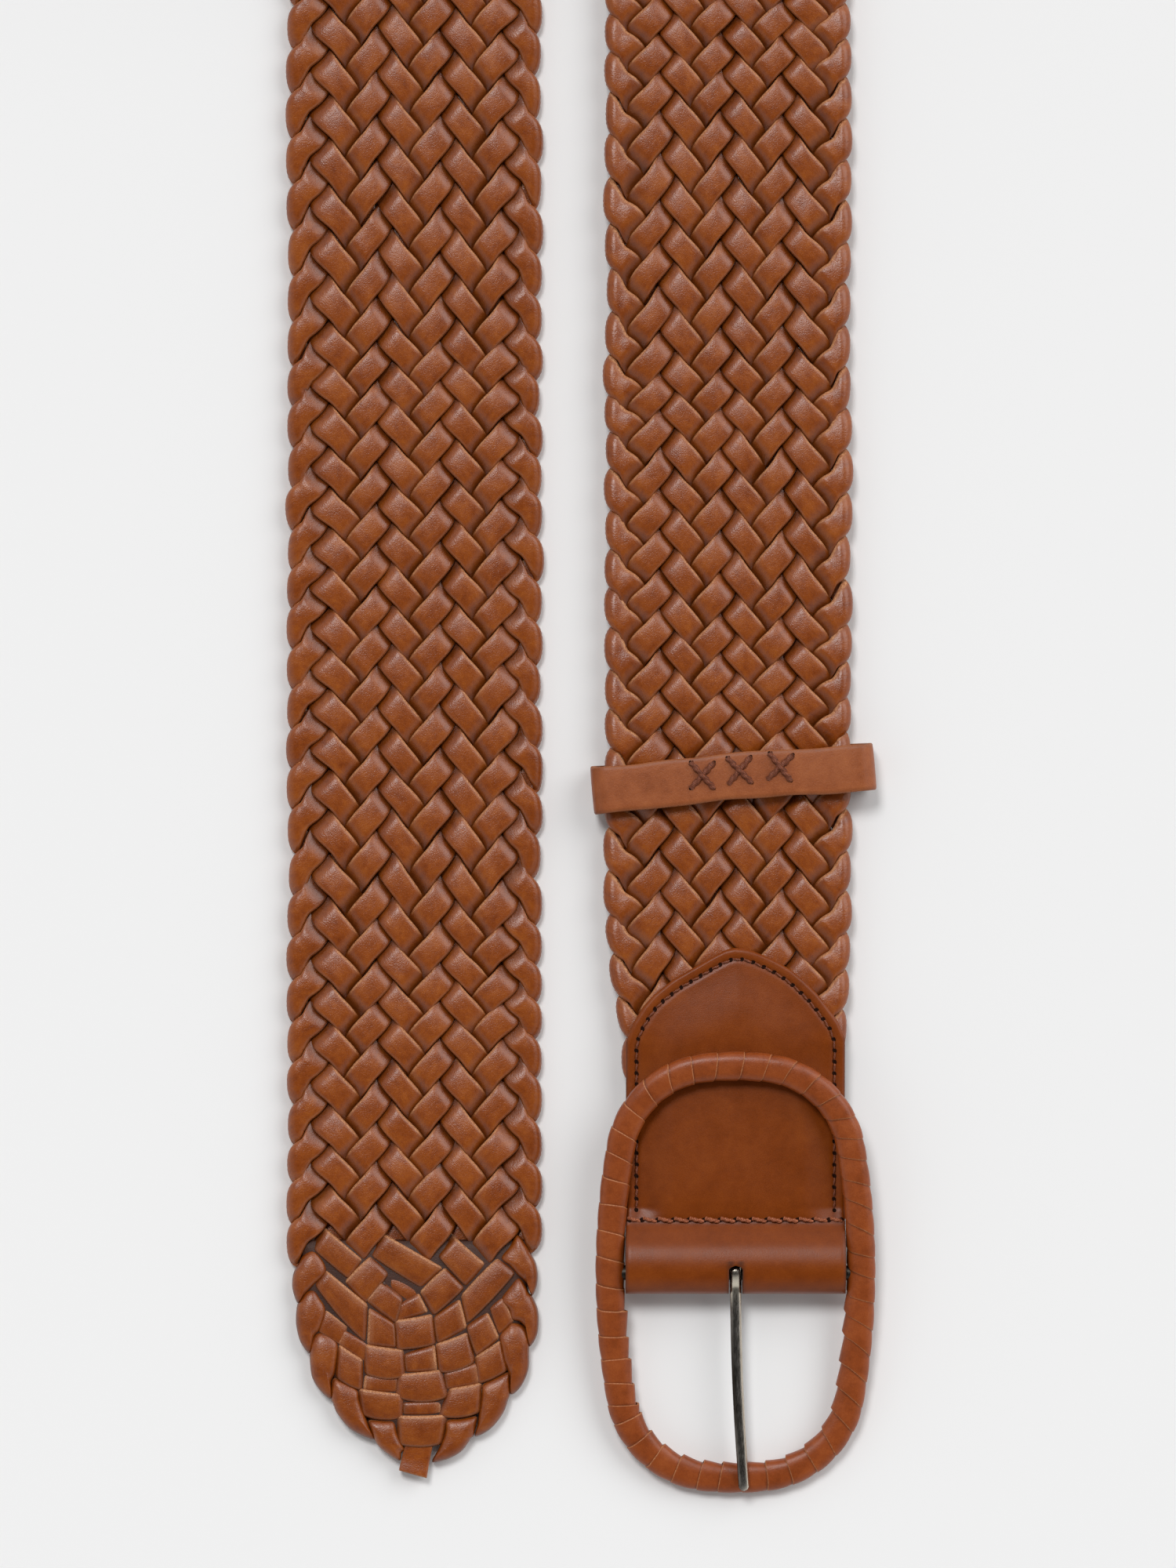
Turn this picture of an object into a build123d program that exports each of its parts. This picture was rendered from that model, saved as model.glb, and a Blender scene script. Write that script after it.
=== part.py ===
from build123d import *
import math
import os

# Braided leather belt with a leather-covered oval centre-bar buckle.
# It lies with both ends side by side, face up, and its middle stands on edge in a U loop.
# +X across the two legs, +Y from the tip and the buckle towards the loop, +Z up from the surface it lies on.

# ---------------------------------------------------------------- driving dimensions (mm)
STRAP_T = 4.6             # thickness of the braid
TIP_W = 60.0              # width of the braid on the tip leg
BUCKLE_W = 58.0           # width of the braid on the buckle leg
LEG_X = 37.15             # centreline of each leg from the middle
FLAT_END = 356.0          # where the legs stop lying flat and begin to turn on edge
TWIST_LEN = 140.0         # length of each quarter turn
LOOP_R = 45.0             # radius of the on-edge loop, on the strap's centreline
LIFT = 1.9                # height of the buckle leg above the surface, carried by keeper and chape

TAB_CX = 38.9             # centreline of chape and buckle
TAB_HALF = 25.9           # half width of the chape
TAB_Y0 = 104.0            # where the parallel sides of the chape end and its point begins
TAB_TIP_Y = 126.1         # apex of the chape's point
LEATHER = 1.8             # thickness of the chape leather
RIM_IN = 4.0              # width of the pressed rim that carries the side seams
TAB_TOP = 7.3             # top of the chape over the gathered lace ends
POINT_TOP = 8.4           # top of the chape's pointed flap, which lies on the full braid

BAR_Y = 49.2              # centre bar
BAR_Z = 6.8
BAR_R = 1.75
FOLD_R = 5.0              # outer radius of the chape's fold round the bar
FOLD_RI = 3.25            # inner radius of the fold

BUCKLE_A = 33.05          # half width of the oval, outside
BUCKLE_B = 52.6           # half length of the oval, outside
BAND_W = 6.6              # width of the covered band
BAND_T = 4.5              # thickness of the covered band
CORE_W = 4.4              # width of the steel core
CORE_T = 2.6              # thickness of the steel core
TILT = 5.2                # lean of the buckle's plane, degrees: lower arc on the surface, upper arc over the chape

PRONG_W = 2.8             # width of the prong
PRONG_T = 2.0             # thickness of the prong
PRONG_LEAN = 2.3          # sideways lean of the prong, degrees
EYE_RI = 1.87             # inner radius of the prong's eye
EYE_RO = 3.1              # outer radius of the prong's eye
SLOT_W = 4.0              # width of the prong slot in the fold
SLOT_TOP = 1.5            # slot's end past the bar's centre

KEEP_CX, KEEP_CY = 38.4, 166.4   # centre of the keeper
KEEP_W = 67.2             # outside width of the keeper
KEEP_H = 10.4             # outside height of the keeper
KEEP_L = 11.0             # length of the keeper along the strap
KEEP_T = 1.8              # thickness of the keeper's leather
KEEP_SKEW = 5.0           # the keeper sits askew by this many degrees

STITCH_PITCH = 3.5        # pitch of the chape's perimeter seam
CROSS_PITCH = 3.65        # pitch of the chape's cross seam
SEAM_Y = 61.5             # cross seam above the fold

parts = {}


def box(x0, x1, y0, y1, z0, z1):
    """Axis-aligned block between two corners."""
    return Pos((x0 + x1) / 2, (y0 + y1) / 2, (z0 + z1) / 2) * Box(x1 - x0, y1 - y0, z1 - z0)


def plate(points, z0, z1):
    """Flat plate with a polygonal outline in XY."""
    face = make_face(Polyline(*[(x, y, z0) for x, y in points], close=True))
    return extrude(face, amount=z1 - z0, dir=(0, 0, 1))


def yz_solid(face_edges, x0, x1):
    """Solid with a constant section in YZ, between two X positions."""
    face = make_face(face_edges)
    return Pos(x0, 0, 0) * extrude(face, amount=x1 - x0, dir=(1, 0, 0))


def yz(points):
    return [(0.0, y, z) for y, z in points]


def faceted(sections):
    """Closed solid through a row of four-cornered sections, with triangulated sides."""
    tris = []
    for a, b in zip(sections[:-1], sections[1:]):
        for i in range(4):
            j = (i + 1) % 4
            tris.append((a[i], a[j], b[j]))
            tris.append((a[i], b[j], b[i]))
    caps = [sections[0][::-1], sections[-1]]
    faces = [Face(Wire.make_polygon(t)) for t in tris]
    faces += [Face(Wire.make_polygon(c)) for c in caps]
    solid = Solid(Shell(faces))
    if solid.volume < 0:
        solid = Solid(Shell([Face(Wire.make_polygon(t[::-1])) for t in tris]
                            + [Face(Wire.make_polygon(c[::-1])) for c in caps]))
    return solid


# ---------------------------------------------------------------- braided strap
def smooth(t):
    t = min(1.0, max(0.0, t))
    return t * t * (3.0 - 2.0 * t)


def leg_section(side, y, lift):
    """Section of the turning strap at a height y up one leg: side is -1 for the tip leg, +1 for the buckle leg."""
    t = (y - FLAT_END) / TWIST_LEN
    phi = math.radians(90.0) * smooth(t)
    width = BUCKLE_W if side > 0 else TIP_W
    cx = side * (LEG_X + (LOOP_R - LEG_X) * smooth(t))
    cz = lift * (1.0 - smooth(t)) + width / 2 * math.sin(phi) + STRAP_T / 2 * math.cos(phi)
    ux, uz = math.cos(phi), math.sin(phi)
    # the inner edge of each leg rises, the outer edge stays on the surface
    inward = -side
    u = (inward * ux, 0.0, uz)
    n = (-inward * uz, 0.0, ux)
    return ring(cx, y, cz, u, n, width)


def ring(cx, cy, cz, u, n, width):
    h, w = STRAP_T / 2, width / 2
    out = []
    for su, sn in ((-1, -1), (1, -1), (1, 1), (-1, 1)):
        out.append((cx + su * w * u[0] + sn * h * n[0],
                    cy + su * w * u[1] + sn * h * n[1],
                    cz + su * w * u[2] + sn * h * n[2]))
    return out


def loop_section(angle, width):
    """Section of the on-edge loop; angle runs from 180 degrees on the tip side to 0 on the buckle side."""
    a = math.radians(angle)
    n = (math.cos(a), math.sin(a), 0.0)
    return ring(LOOP_R * n[0], FLAT_END + TWIST_LEN + LOOP_R * n[1], width / 2, (0.0, 0.0, 1.0), n, width)


N_TWIST = 14
N_ARC = 10


def half_loop(side, lift):
    """One quarter turn of the strap and one half of the loop, up to the apex."""
    secs = [leg_section(side, FLAT_END + TWIST_LEN * i / N_TWIST, lift) for i in range(N_TWIST + 1)]
    width = BUCKLE_W if side > 0 else TIP_W
    for i in range(1, N_ARC + 1):
        f = i / N_ARC
        angle = (180.0 - 90.0 * f) if side < 0 else 90.0 * f
        w = width + (0.5 * (TIP_W + BUCKLE_W) - width) * f
        secs.append(loop_section(angle, w))
    return faceted(secs)


# the rounded tip, down one side, round the end and up the other
tip_outline = [
    (-67.2, FLAT_END), (-67.2, 52.0), (-66.4, 40.8), (-64.8, 33.8), (-61.6, 26.4), (-57.6, 19.4), (-53.0, 15.0),
    (-48.6, 10.8), (-44.0, 7.6), (-40.4, 4.6), (-33.2, 4.4), (-28.8, 7.2), (-24.4, 11.2), (-19.6, 14.6),
    (-15.4, 20.4), (-11.8, 25.6), (-9.2, 33.0), (-7.6, 41.6), (-7.2, 52.0), (-7.2, FLAT_END),
]
parts["strap_tip_leg"] = plate(tip_outline, 0.0, STRAP_T)

# the last lace's trimmed end sticks out of the tip
parts["tip_lace_tail"] = plate([(-38.9, 4.4), (-39.3, 1.5), (-38.3, 0.5), (-35.6, 0.6), (-34.6, 1.8), (-34.9, 4.4)], 1.2, 3.2)

parts["strap_loop_tip_half"] = half_loop(-1, 0.0)
parts["strap_loop_buckle_half"] = half_loop(1, LIFT)

# the buckle leg narrows a little where it enters the chape
bx0, bx1 = LEG_X - BUCKLE_W / 2, LEG_X + BUCKLE_W / 2
leg_outline = [(bx0, FLAT_END), (bx0, 130.0), (9.7, 118.0), (12.2, TAB_Y0 + 0.3), (64.7, TAB_Y0 + 0.3),
               (65.6, 118.0), (bx1, 130.0), (bx1, FLAT_END)]
parts["strap_buckle_leg"] = plate(leg_outline, LIFT, LIFT + STRAP_T)

# fifteen lace ends lie flat in two layers between the chape's panels
LACE_PITCH = 5.4
ends = []
for i in range(8):
    x = TAB_CX + (i - 3.5) * LACE_PITCH
    ends.append(box(x - 2.6, x + 2.6, 67.0, TAB_Y0 + 0.28, 1.95, 3.6))
for i in range(7):
    x = TAB_CX + (i - 3.0) * LACE_PITCH
    ends.append(box(x - 2.6, x + 2.6, 68.5, TAB_Y0 + 0.28, 3.7, 5.35))
parts["strap_lace_ends"] = Compound(ends)

# ---------------------------------------------------------------- chape: one leather tab folded round the bar
outer = (Polyline(*yz([(BAR_Y, BAR_Z + FOLD_R), (SEAM_Y, 8.0), (66.0, TAB_TOP), (TAB_Y0, TAB_TOP),
                       (TAB_Y0, 0.1), (66.0, 0.1), (BAR_Y, BAR_Z - FOLD_R)]))
         + ThreePointArc(*yz([(BAR_Y, BAR_Z - FOLD_R), (BAR_Y - FOLD_R, BAR_Z), (BAR_Y, BAR_Z + FOLD_R)])))
inner = (Polyline(*yz([(BAR_Y, BAR_Z + FOLD_RI), (SEAM_Y, 6.1), (66.0, TAB_TOP - LEATHER), (TAB_Y0 + 1.0, TAB_TOP - LEATHER),
                       (TAB_Y0 + 1.0, 1.8), (66.0, 1.8), (BAR_Y, BAR_Z - FOLD_RI)]))
         + ThreePointArc(*yz([(BAR_Y, BAR_Z - FOLD_RI), (BAR_Y - FOLD_RI, BAR_Z), (BAR_Y, BAR_Z + FOLD_RI)])))
tx0, tx1 = TAB_CX - TAB_HALF, TAB_CX + TAB_HALF


def fold_solid(x0, x1):
    return yz_solid(outer, x0, x1) - yz_solid(inner, x0 - 1.0, x1 + 1.0)


middle = fold_solid(tx0 + RIM_IN, tx1 - RIM_IN)
roll = fold_solid(tx0, tx1) & box(tx0 - 1, tx1 + 1, 40.0, 64.0, -1.0, 20.0)
chape = middle + roll
for x0, x1 in ((tx0, tx0 + RIM_IN), (tx1 - RIM_IN, tx1)):
    chape += box(x0, x1, 62.0, TAB_Y0, 0.6, 5.8)      # pressed rim under the side seam
    chape += box(x0, x1, 101.0, TAB_Y0, 0.6, POINT_TOP)  # shoulder, where the panels part round the braid
point = [(tx0, TAB_Y0 - 1.5), (tx1, TAB_Y0 - 1.5), (tx1, 104.7), (60.8, 111.9), (55.2, 118.2), (47.8, 123.3),
         (38.7, TAB_TIP_Y), (29.0, 121.4), (19.5, 114.9), (14.6, 108.2), (tx0, 103.8)]
chape += plate(point, LIFT + STRAP_T + 0.1, POINT_TOP)
chape += plate(point, 0.1, 1.75)
chape -= box(TAB_CX - SLOT_W / 2, TAB_CX + SLOT_W / 2, 40.0, BAR_Y + SLOT_TOP, 0.0, 20.0)
parts["chape_tab"] = chape

# perimeter seam of the chape: up one side, round the point, down the other
inset = 2.3
seam = [(tx0 + inset, 64.5), (tx0 + inset, 103.0), (16.6, 107.0), (21.0, 113.2), (29.9, 119.1), (38.8, 123.3),
        (46.9, 120.9), (53.9, 116.4), (59.0, 110.5), (tx1 - inset, 103.5), (tx1 - inset, 64.5)]
line = Polyline(*[(x, y, 0) for x, y in seam])
count = int(line.length / STITCH_PITCH)
stitches = []
for i in range(count + 1):
    f = (i + 0.5) * STITCH_PITCH / line.length
    if f >= 1.0:
        break
    p = line @ f
    d = line % f
    z = 5.7 if p.Y < 101.0 else POINT_TOP - 0.1
    stitches.append(Location((p.X, p.Y, z + 0.2), (0, 0, math.degrees(math.atan2(d.Y, d.X)))) * Box(2.6, 0.6, 0.4))
parts["chape_edge_seam"] = Compound(stitches)

# heavy cross seam: thick slanted stitches right across the chape, above the fold
bars = []
n_cross = 14
for i in range(n_cross):
    x = TAB_CX + (i - (n_cross - 1) / 2) * CROSS_PITCH
    bars.append(Location((x, SEAM_Y, 8.25), (0, 0, 8)) * Box(2.9, 0.85, 0.8))
parts["chape_cross_seam"] = Compound(bars)

# ---------------------------------------------------------------- keeper: a leather loop round the strap
k_out = RectangleRounded(KEEP_W, KEEP_H, 3.4)
k_in = RectangleRounded(KEEP_W - 2 * KEEP_T, KEEP_H - 2 * KEEP_T, 1.6)
keeper = extrude(Plane.XZ * (k_out - k_in), amount=KEEP_L / 2, both=True)
keeper_place = Location((KEEP_CX, KEEP_CY, KEEP_H / 2 + 0.02), (0, 0, KEEP_SKEW))
parts["keeper_loop"] = keeper_place * keeper

crosses = []
for x, y, spin in ((31.0, 166.8, 0.0), (39.8, 167.9, 3.0), (49.3, 168.5, -4.0)):
    arm = Box(8.2, 0.85, 0.5)
    cross = Rot(0, 0, 43 + spin) * arm + Rot(0, 0, -43 + spin) * Box(8.2, 0.85, 0.5)
    crosses.append(Pos(x, y, KEEP_H + 0.02 + 0.13) * cross)
parts["keeper_lap_seam"] = Compound(crosses)

# ---------------------------------------------------------------- buckle: oval ring on a centre bar
# The oval is drawn with tangent arcs: a flat arc down each side, a tight arc at each corner, a middle arc at each end.
SIDE_R = 180.0
END_R = 66.0
a, b = BUCKLE_A, BUCKLE_B
ax_c = a - SIDE_R          # centre of the side arc, on X
ey_c = b - END_R           # centre of the end arc, on Y


def corner(r):
    """Centre of the corner arc of radius r, tangent inside both the side arc and the end arc."""
    d1, d2 = SIDE_R - r, END_R - r
    x0, y0, x1, y1 = ax_c, 0.0, 0.0, ey_c
    d = math.hypot(x1 - x0, y1 - y0)
    k = (d1 * d1 - d2 * d2 + d * d) / (2 * d)
    h = math.sqrt(max(0.0, d1 * d1 - k * k))
    mx, my = x0 + k * (x1 - x0) / d, y0 + k * (y1 - y0) / d
    return mx - h * (y1 - y0) / d, my + h * (x1 - x0) / d, mx + h * (y1 - y0) / d, my - h * (x1 - x0) / d


CORNER_R = 26.0
cands = corner(CORNER_R)
cx_c, cy_c = (cands[0], cands[1]) if cands[0] > cands[2] else (cands[2], cands[3])


def unit(x, y):
    m = math.hypot(x, y)
    return x / m, y / m


def oval(inset_by):
    """Closed outline of the oval, moved inwards by a distance."""
    sr, cr, er = SIDE_R - inset_by, CORNER_R - inset_by, END_R - inset_by
    u1 = unit(cx_c - ax_c, cy_c)
    p1 = (ax_c + sr * u1[0], sr * u1[1])                 # side arc meets corner arc
    u2 = unit(cx_c, cy_c - ey_c)
    p2 = (er * u2[0], ey_c + er * u2[1])                 # corner arc meets end arc
    m = unit(u1[0] + u2[0], u1[1] + u2[1])
    pm = (cx_c + cr * m[0], cy_c + cr * m[1])
    right = ThreePointArc((p1[0], -p1[1]), (ax_c + sr, 0.0), (p1[0], p1[1]))
    left = ThreePointArc((-p1[0], p1[1]), (-ax_c - sr, 0.0), (-p1[0], -p1[1]))
    top = ThreePointArc((p2[0], p2[1]), (0.0, ey_c + er), (-p2[0], p2[1]))
    bottom = ThreePointArc((-p2[0], -p2[1]), (0.0, -ey_c - er), (p2[0], -p2[1]))
    c1 = ThreePointArc(p1, pm, p2)
    c2 = ThreePointArc((-p2[0], p2[1]), (-pm[0], pm[1]), (-p1[0], p1[1]))
    c3 = ThreePointArc((-p1[0], -p1[1]), (-pm[0], -pm[1]), (-p2[0], -p2[1]))
    c4 = ThreePointArc((p2[0], -p2[1]), (pm[0], -pm[1]), (p1[0], -p1[1]))
    return make_face(right + c1 + top + c2 + left + c3 + bottom + c4)


def oval_ring(in0, in1, thick):
    return extrude(oval(in0) - oval(in1), amount=thick / 2, both=True)


cover = oval_ring(0.0, BAND_W, BAND_T)
cover = fillet(cover.edges().filter_by(GeomType.CIRCLE), 2.0)
mid = BAND_W / 2
core = oval_ring(mid - CORE_W / 2, mid + CORE_W / 2, CORE_T)
bar_half = BUCKLE_A - mid
bar = Rot(0, 90, 0) * Cylinder(BAR_R, 2 * bar_half)
core_holes = Rot(0, 90, 0) * Cylinder(BAR_R, 2 * bar_half)
core = core - core_holes
cover = cover - oval_ring(mid - CORE_W / 2, mid + CORE_W / 2, CORE_T) - bar
cut = 0.05
upper = cover & box(-60, 60, cut, 80, -10, 10)
lower = cover & box(-60, 60, -80, -cut, -10, 10)
place_buckle = Location((TAB_CX, BAR_Y, BAR_Z), (TILT, 0, 0))
parts["buckle_core"] = place_buckle * core
parts["buckle_bar"] = place_buckle * bar
parts["buckle_cover_upper"] = place_buckle * upper
parts["buckle_cover_lower"] = place_buckle * lower

# ---------------------------------------------------------------- prong: a steel tongue curled round the bar
eye = Rot(0, 90, 0) * (Cylinder(EYE_RO, PRONG_W) - Cylinder(EYE_RI, PRONG_W + 1.0))
top_line = [(-2.2, 2.0), (-9.0, 2.1), (-30.0, 3.6), (-43.0, 4.5), (-49.5, 4.6), (-51.3, 3.9)]
low_line = [(-51.4, 3.0), (-49.5, 2.6), (-43.0, 2.5), (-30.0, 1.6), (-9.0, 0.1), (-2.4, 0.0)]
shank = yz_solid(Polyline(*yz(top_line + low_line), close=True), -PRONG_W / 2, PRONG_W / 2)
shank = shank - Rot(0, 90, 0) * Cylinder(EYE_RO - 0.4, PRONG_W + 1.0)
# the leaning shank is turned about the eye, then joined to it
prong = eye + Rot(0, 0, PRONG_LEAN) * shank
parts["prong"] = place_buckle * prong

# ---------------------------------------------------------------- frame: origin under the middle of the whole belt
lo = [1e9] * 3
hi = [-1e9] * 3
for shape in parts.values():
    bb = shape.bounding_box()
    for i, (p, q) in enumerate(zip(tuple(bb.min), tuple(bb.max))):
        lo[i] = min(lo[i], p)
        hi[i] = max(hi[i], q)
shift = Pos(-(lo[0] + hi[0]) / 2, -(lo[1] + hi[1]) / 2, -lo[2])
off = (-(lo[0] + hi[0]) / 2, -(lo[1] + hi[1]) / 2, -lo[2])

os.makedirs("parts", exist_ok=True)
for name, shape in parts.items():
    placed = shift * shape
    placed.label = name
    export_step(placed, "parts/" + name + ".step")
    print(name, "solids", len(placed.solids()), "volume", round(sum(s.volume for s in placed.solids()), 2))

print("box", [round(v, 3) for v in lo], [round(v, 3) for v in hi])
print("offset", [round(v, 4) for v in off])
for label, p in (("bar", (TAB_CX, BAR_Y, BAR_Z)), ("tip_hinge", (-LEG_X, FLAT_END, STRAP_T)),
                 ("buckle_hinge", (LEG_X, FLAT_END, LIFT + STRAP_T)),
                 ("apex_hinge", (0.0, FLAT_END + TWIST_LEN + LOOP_R + STRAP_T / 2, 0.0)),
                 ("keeper", (KEEP_CX, KEEP_CY, 0.0))):
    print(label, [round((p[i] + off[i]) / 1000.0, 6) for i in range(3)])
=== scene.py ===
import math
import random

import bpy
import numpy as np
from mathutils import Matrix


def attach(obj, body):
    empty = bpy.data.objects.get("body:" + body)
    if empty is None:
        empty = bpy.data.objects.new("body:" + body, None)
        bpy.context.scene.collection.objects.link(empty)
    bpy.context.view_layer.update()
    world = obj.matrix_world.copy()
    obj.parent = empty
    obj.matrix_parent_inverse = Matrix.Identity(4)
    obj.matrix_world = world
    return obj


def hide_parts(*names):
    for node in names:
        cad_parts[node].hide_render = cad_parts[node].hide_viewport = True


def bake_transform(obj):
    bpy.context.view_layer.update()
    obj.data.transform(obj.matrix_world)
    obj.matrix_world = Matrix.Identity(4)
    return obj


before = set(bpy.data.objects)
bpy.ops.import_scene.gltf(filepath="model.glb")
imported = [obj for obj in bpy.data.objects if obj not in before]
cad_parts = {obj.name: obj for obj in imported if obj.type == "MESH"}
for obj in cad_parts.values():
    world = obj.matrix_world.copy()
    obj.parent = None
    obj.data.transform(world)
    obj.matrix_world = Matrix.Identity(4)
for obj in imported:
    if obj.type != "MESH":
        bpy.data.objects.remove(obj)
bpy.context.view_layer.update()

OFF = np.array([-2.1825, -270.0428, 0.035])      # working mm -> row frame mm


# ================================================================ mesh helpers
def obj_from(name, verts, faces, attrs=None, mats=(), face_mat=None, smooth=True, flip=False):
    """verts in working mm (n,3), faces list/array of tuples; attrs {name: (n,) or (n,3)}."""
    v = (np.asarray(verts, float) + OFF) / 1000.0
    me = bpy.data.meshes.new(name)
    if isinstance(faces, np.ndarray):
        faces = faces.astype(np.int32)
        if flip:
            faces = faces[:, ::-1]
        n, k = faces.shape
        me.vertices.add(len(v))
        me.vertices.foreach_set("co", v.astype(np.float32).ravel())
        me.loops.add(n * k)
        me.loops.foreach_set("vertex_index", np.ascontiguousarray(faces).ravel())
        me.polygons.add(n)
        me.polygons.foreach_set("loop_start", np.arange(0, n * k, k, dtype=np.int32))
        me.polygons.foreach_set("loop_total", np.full(n, k, np.int32))
    else:
        if flip:
            faces = [tuple(f)[::-1] for f in faces]
        me.from_pydata([tuple(p) for p in v], [], [tuple(int(i) for i in f) for f in faces])
        n = len(faces)
    for m in mats:
        me.materials.append(m)
    if face_mat is not None:
        me.polygons.foreach_set("material_index", np.asarray(face_mat, np.int32))
    for a, val in (attrs or {}).items():
        val = np.asarray(val, np.float32)
        kind = "FLOAT_VECTOR" if val.ndim == 2 else "FLOAT"
        at = me.attributes.new(a, kind, "POINT")
        at.data.foreach_set("vector" if val.ndim == 2 else "value", val.ravel())
    me.update(calc_edges=True)
    me.validate()
    me.polygons.foreach_set("use_smooth", np.full(len(me.polygons), bool(smooth)))
    o = bpy.data.objects.new(name, me)
    bpy.context.scene.collection.objects.link(o)
    return o


class Build:
    """Collects grids into one mesh."""
    def __init__(self):
        self.v, self.f, self.m = [], [], []
        self.a = {}
        self.n = 0

    def add(self, verts, quads, mat=0, **attrs):
        verts = np.asarray(verts, float).reshape(-1, 3)
        quads = np.asarray(quads, np.int64)
        for key in set(self.a) | set(attrs):
            if key not in self.a:
                self.a[key] = [np.zeros(self.n, np.float32)] if self.n else []
            val = attrs.get(key)
            if val is None:
                val = np.zeros(len(verts), np.float32)
            val = np.asarray(val, np.float32)
            if val.ndim == 0:
                val = np.full(len(verts), float(val), np.float32)
            self.a[key].append(val)
        self.v.append(verts)
        self.f.append(quads + self.n)
        self.m.append(np.full(len(quads), mat, np.int32))
        self.n += len(verts)

    def grid(self, P, close_u=False, close_v=False, mat=0, flip=False, **attrs):
        nu, nv = P.shape[:2]
        idx = np.arange(nu * nv).reshape(nu, nv)
        iu = np.arange(nu if close_u else nu - 1)
        iv = np.arange(nv if close_v else nv - 1)
        a = idx[np.ix_(iu, iv)]
        b = idx[np.ix_((iu + 1) % nu, iv)]
        c = idx[np.ix_((iu + 1) % nu, (iv + 1) % nv)]
        d = idx[np.ix_(iu, (iv + 1) % nv)]
        q = np.stack([a, b, c, d], -1).reshape(-1, 4)
        if flip:
            q = q[:, ::-1]
        self.add(P.reshape(-1, 3), q, mat, **{k: (np.asarray(x).reshape(-1) if np.ndim(x) else x) for k, x in attrs.items()})

    def done(self, name, mats, smooth=True, lc=None):
        v = np.concatenate(self.v)
        at = {k: np.concatenate(x) for k, x in self.a.items()}
        if lc is not None:
            at["lc"] = lc if isinstance(lc, np.ndarray) else v.copy()
        else:
            at["lc"] = v.copy()
        f = np.concatenate(self.f)
        tri = f[:, 2] == f[:, 3]
        if tri.any():
            faces = [tuple(q[:3]) if q[2] == q[3] else tuple(q) for q in f]
            return obj_from(name, v, faces, at, mats, np.concatenate(self.m), smooth)
        return obj_from(name, v, f, at, mats, np.concatenate(self.m), smooth)


def sstep(t):
    t = np.clip(t, 0.0, 1.0)
    return t * t * (3 - 2 * t)


def catmull(points, n, closed=False):
    """Even-parameter Catmull-Rom through points -> n samples."""
    p = np.asarray(points, float)
    m = len(p)
    if closed:
        seg = m
        get = lambda i: p[i % m]
    else:
        seg = m - 1
        get = lambda i: p[min(max(i, 0), m - 1)]
    out = []
    for t in np.linspace(0, seg, n, endpoint=not closed):
        i = int(min(math.floor(t), seg - 1))
        f = t - i
        p0, p1, p2, p3 = get(i - 1), get(i), get(i + 1), get(i + 2)
        out.append(0.5 * ((2 * p1) + (-p0 + p2) * f + (2 * p0 - 5 * p1 + 4 * p2 - p3) * f * f + (-p0 + 3 * p1 - 3 * p2 + p3) * f ** 3))
    return np.array(out)


def resample(pts, n=None, step=None):
    pts = np.asarray(pts, float)
    d = np.r_[0, np.cumsum(np.linalg.norm(np.diff(pts, axis=0), axis=1))]
    if n is None:
        n = max(2, int(d[-1] / step) + 1)
    t = np.linspace(0, d[-1], n)
    return np.stack([np.interp(t, d, pts[:, i]) for i in range(pts.shape[1])], -1)


def tube(build, path, radius, nseg=8, mat=0, taper=0.0, twist=0.0, **attrs):
    """Round tube along a path with closed ends."""
    path = np.asarray(path, float)
    n = len(path)
    T = np.gradient(path, axis=0)
    T /= np.maximum(np.linalg.norm(T, axis=1, keepdims=True), 1e-9)
    up = np.tile([0.0, 0.0, 1.0], (n, 1))
    up[np.abs(T[:, 2]) > 0.9] = [0, 1, 0]
    S = np.cross(T, up)
    S /= np.maximum(np.linalg.norm(S, axis=1, keepdims=True), 1e-9)
    V = np.cross(S, T)
    f = np.linspace(0, 1, n)
    r = radius * (1 - taper * (2 * f - 1) ** 6)
    ang = np.linspace(0, 2 * np.pi, nseg, endpoint=False)
    arc = np.r_[0, np.cumsum(np.linalg.norm(np.diff(path, axis=0), axis=1))]
    a2 = ang[None, :] + twist * arc[:, None]
    lobes = 1 + (0.22 * np.cos(2 * ang)[None, :] if twist else 0)
    rr = r[:, None] * lobes * np.ones((n, nseg))
    P = path[:, None, :] + rr[..., None] * (np.cos(a2)[..., None] * S[:, None, :] + np.sin(a2)[..., None] * V[:, None, :])
    base = build.n
    build.grid(P, close_v=True, mat=mat, flip=True, **attrs)
    caps = np.array([path[0] - T[0] * radius * 0.4, path[-1] + T[-1] * radius * 0.4])
    q = []
    c0, c1 = 0, 1
    off = base - build.n
    for j in range(nseg):
        k = (j + 1) % nseg
        q.append([off + j, off + k, c0, c0])
        q.append([off + (n - 1) * nseg + k, off + (n - 1) * nseg + j, c1, c1])
    build.add(caps, np.array(q), mat, **attrs)


# ================================================================ materials
def srgb(r, g, b):
    def f(c):
        c /= 255.0
        return c / 12.92 if c <= 0.04045 else ((c + 0.055) / 1.055) ** 2.4
    return (f(r), f(g), f(b), 1.0)


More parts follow.
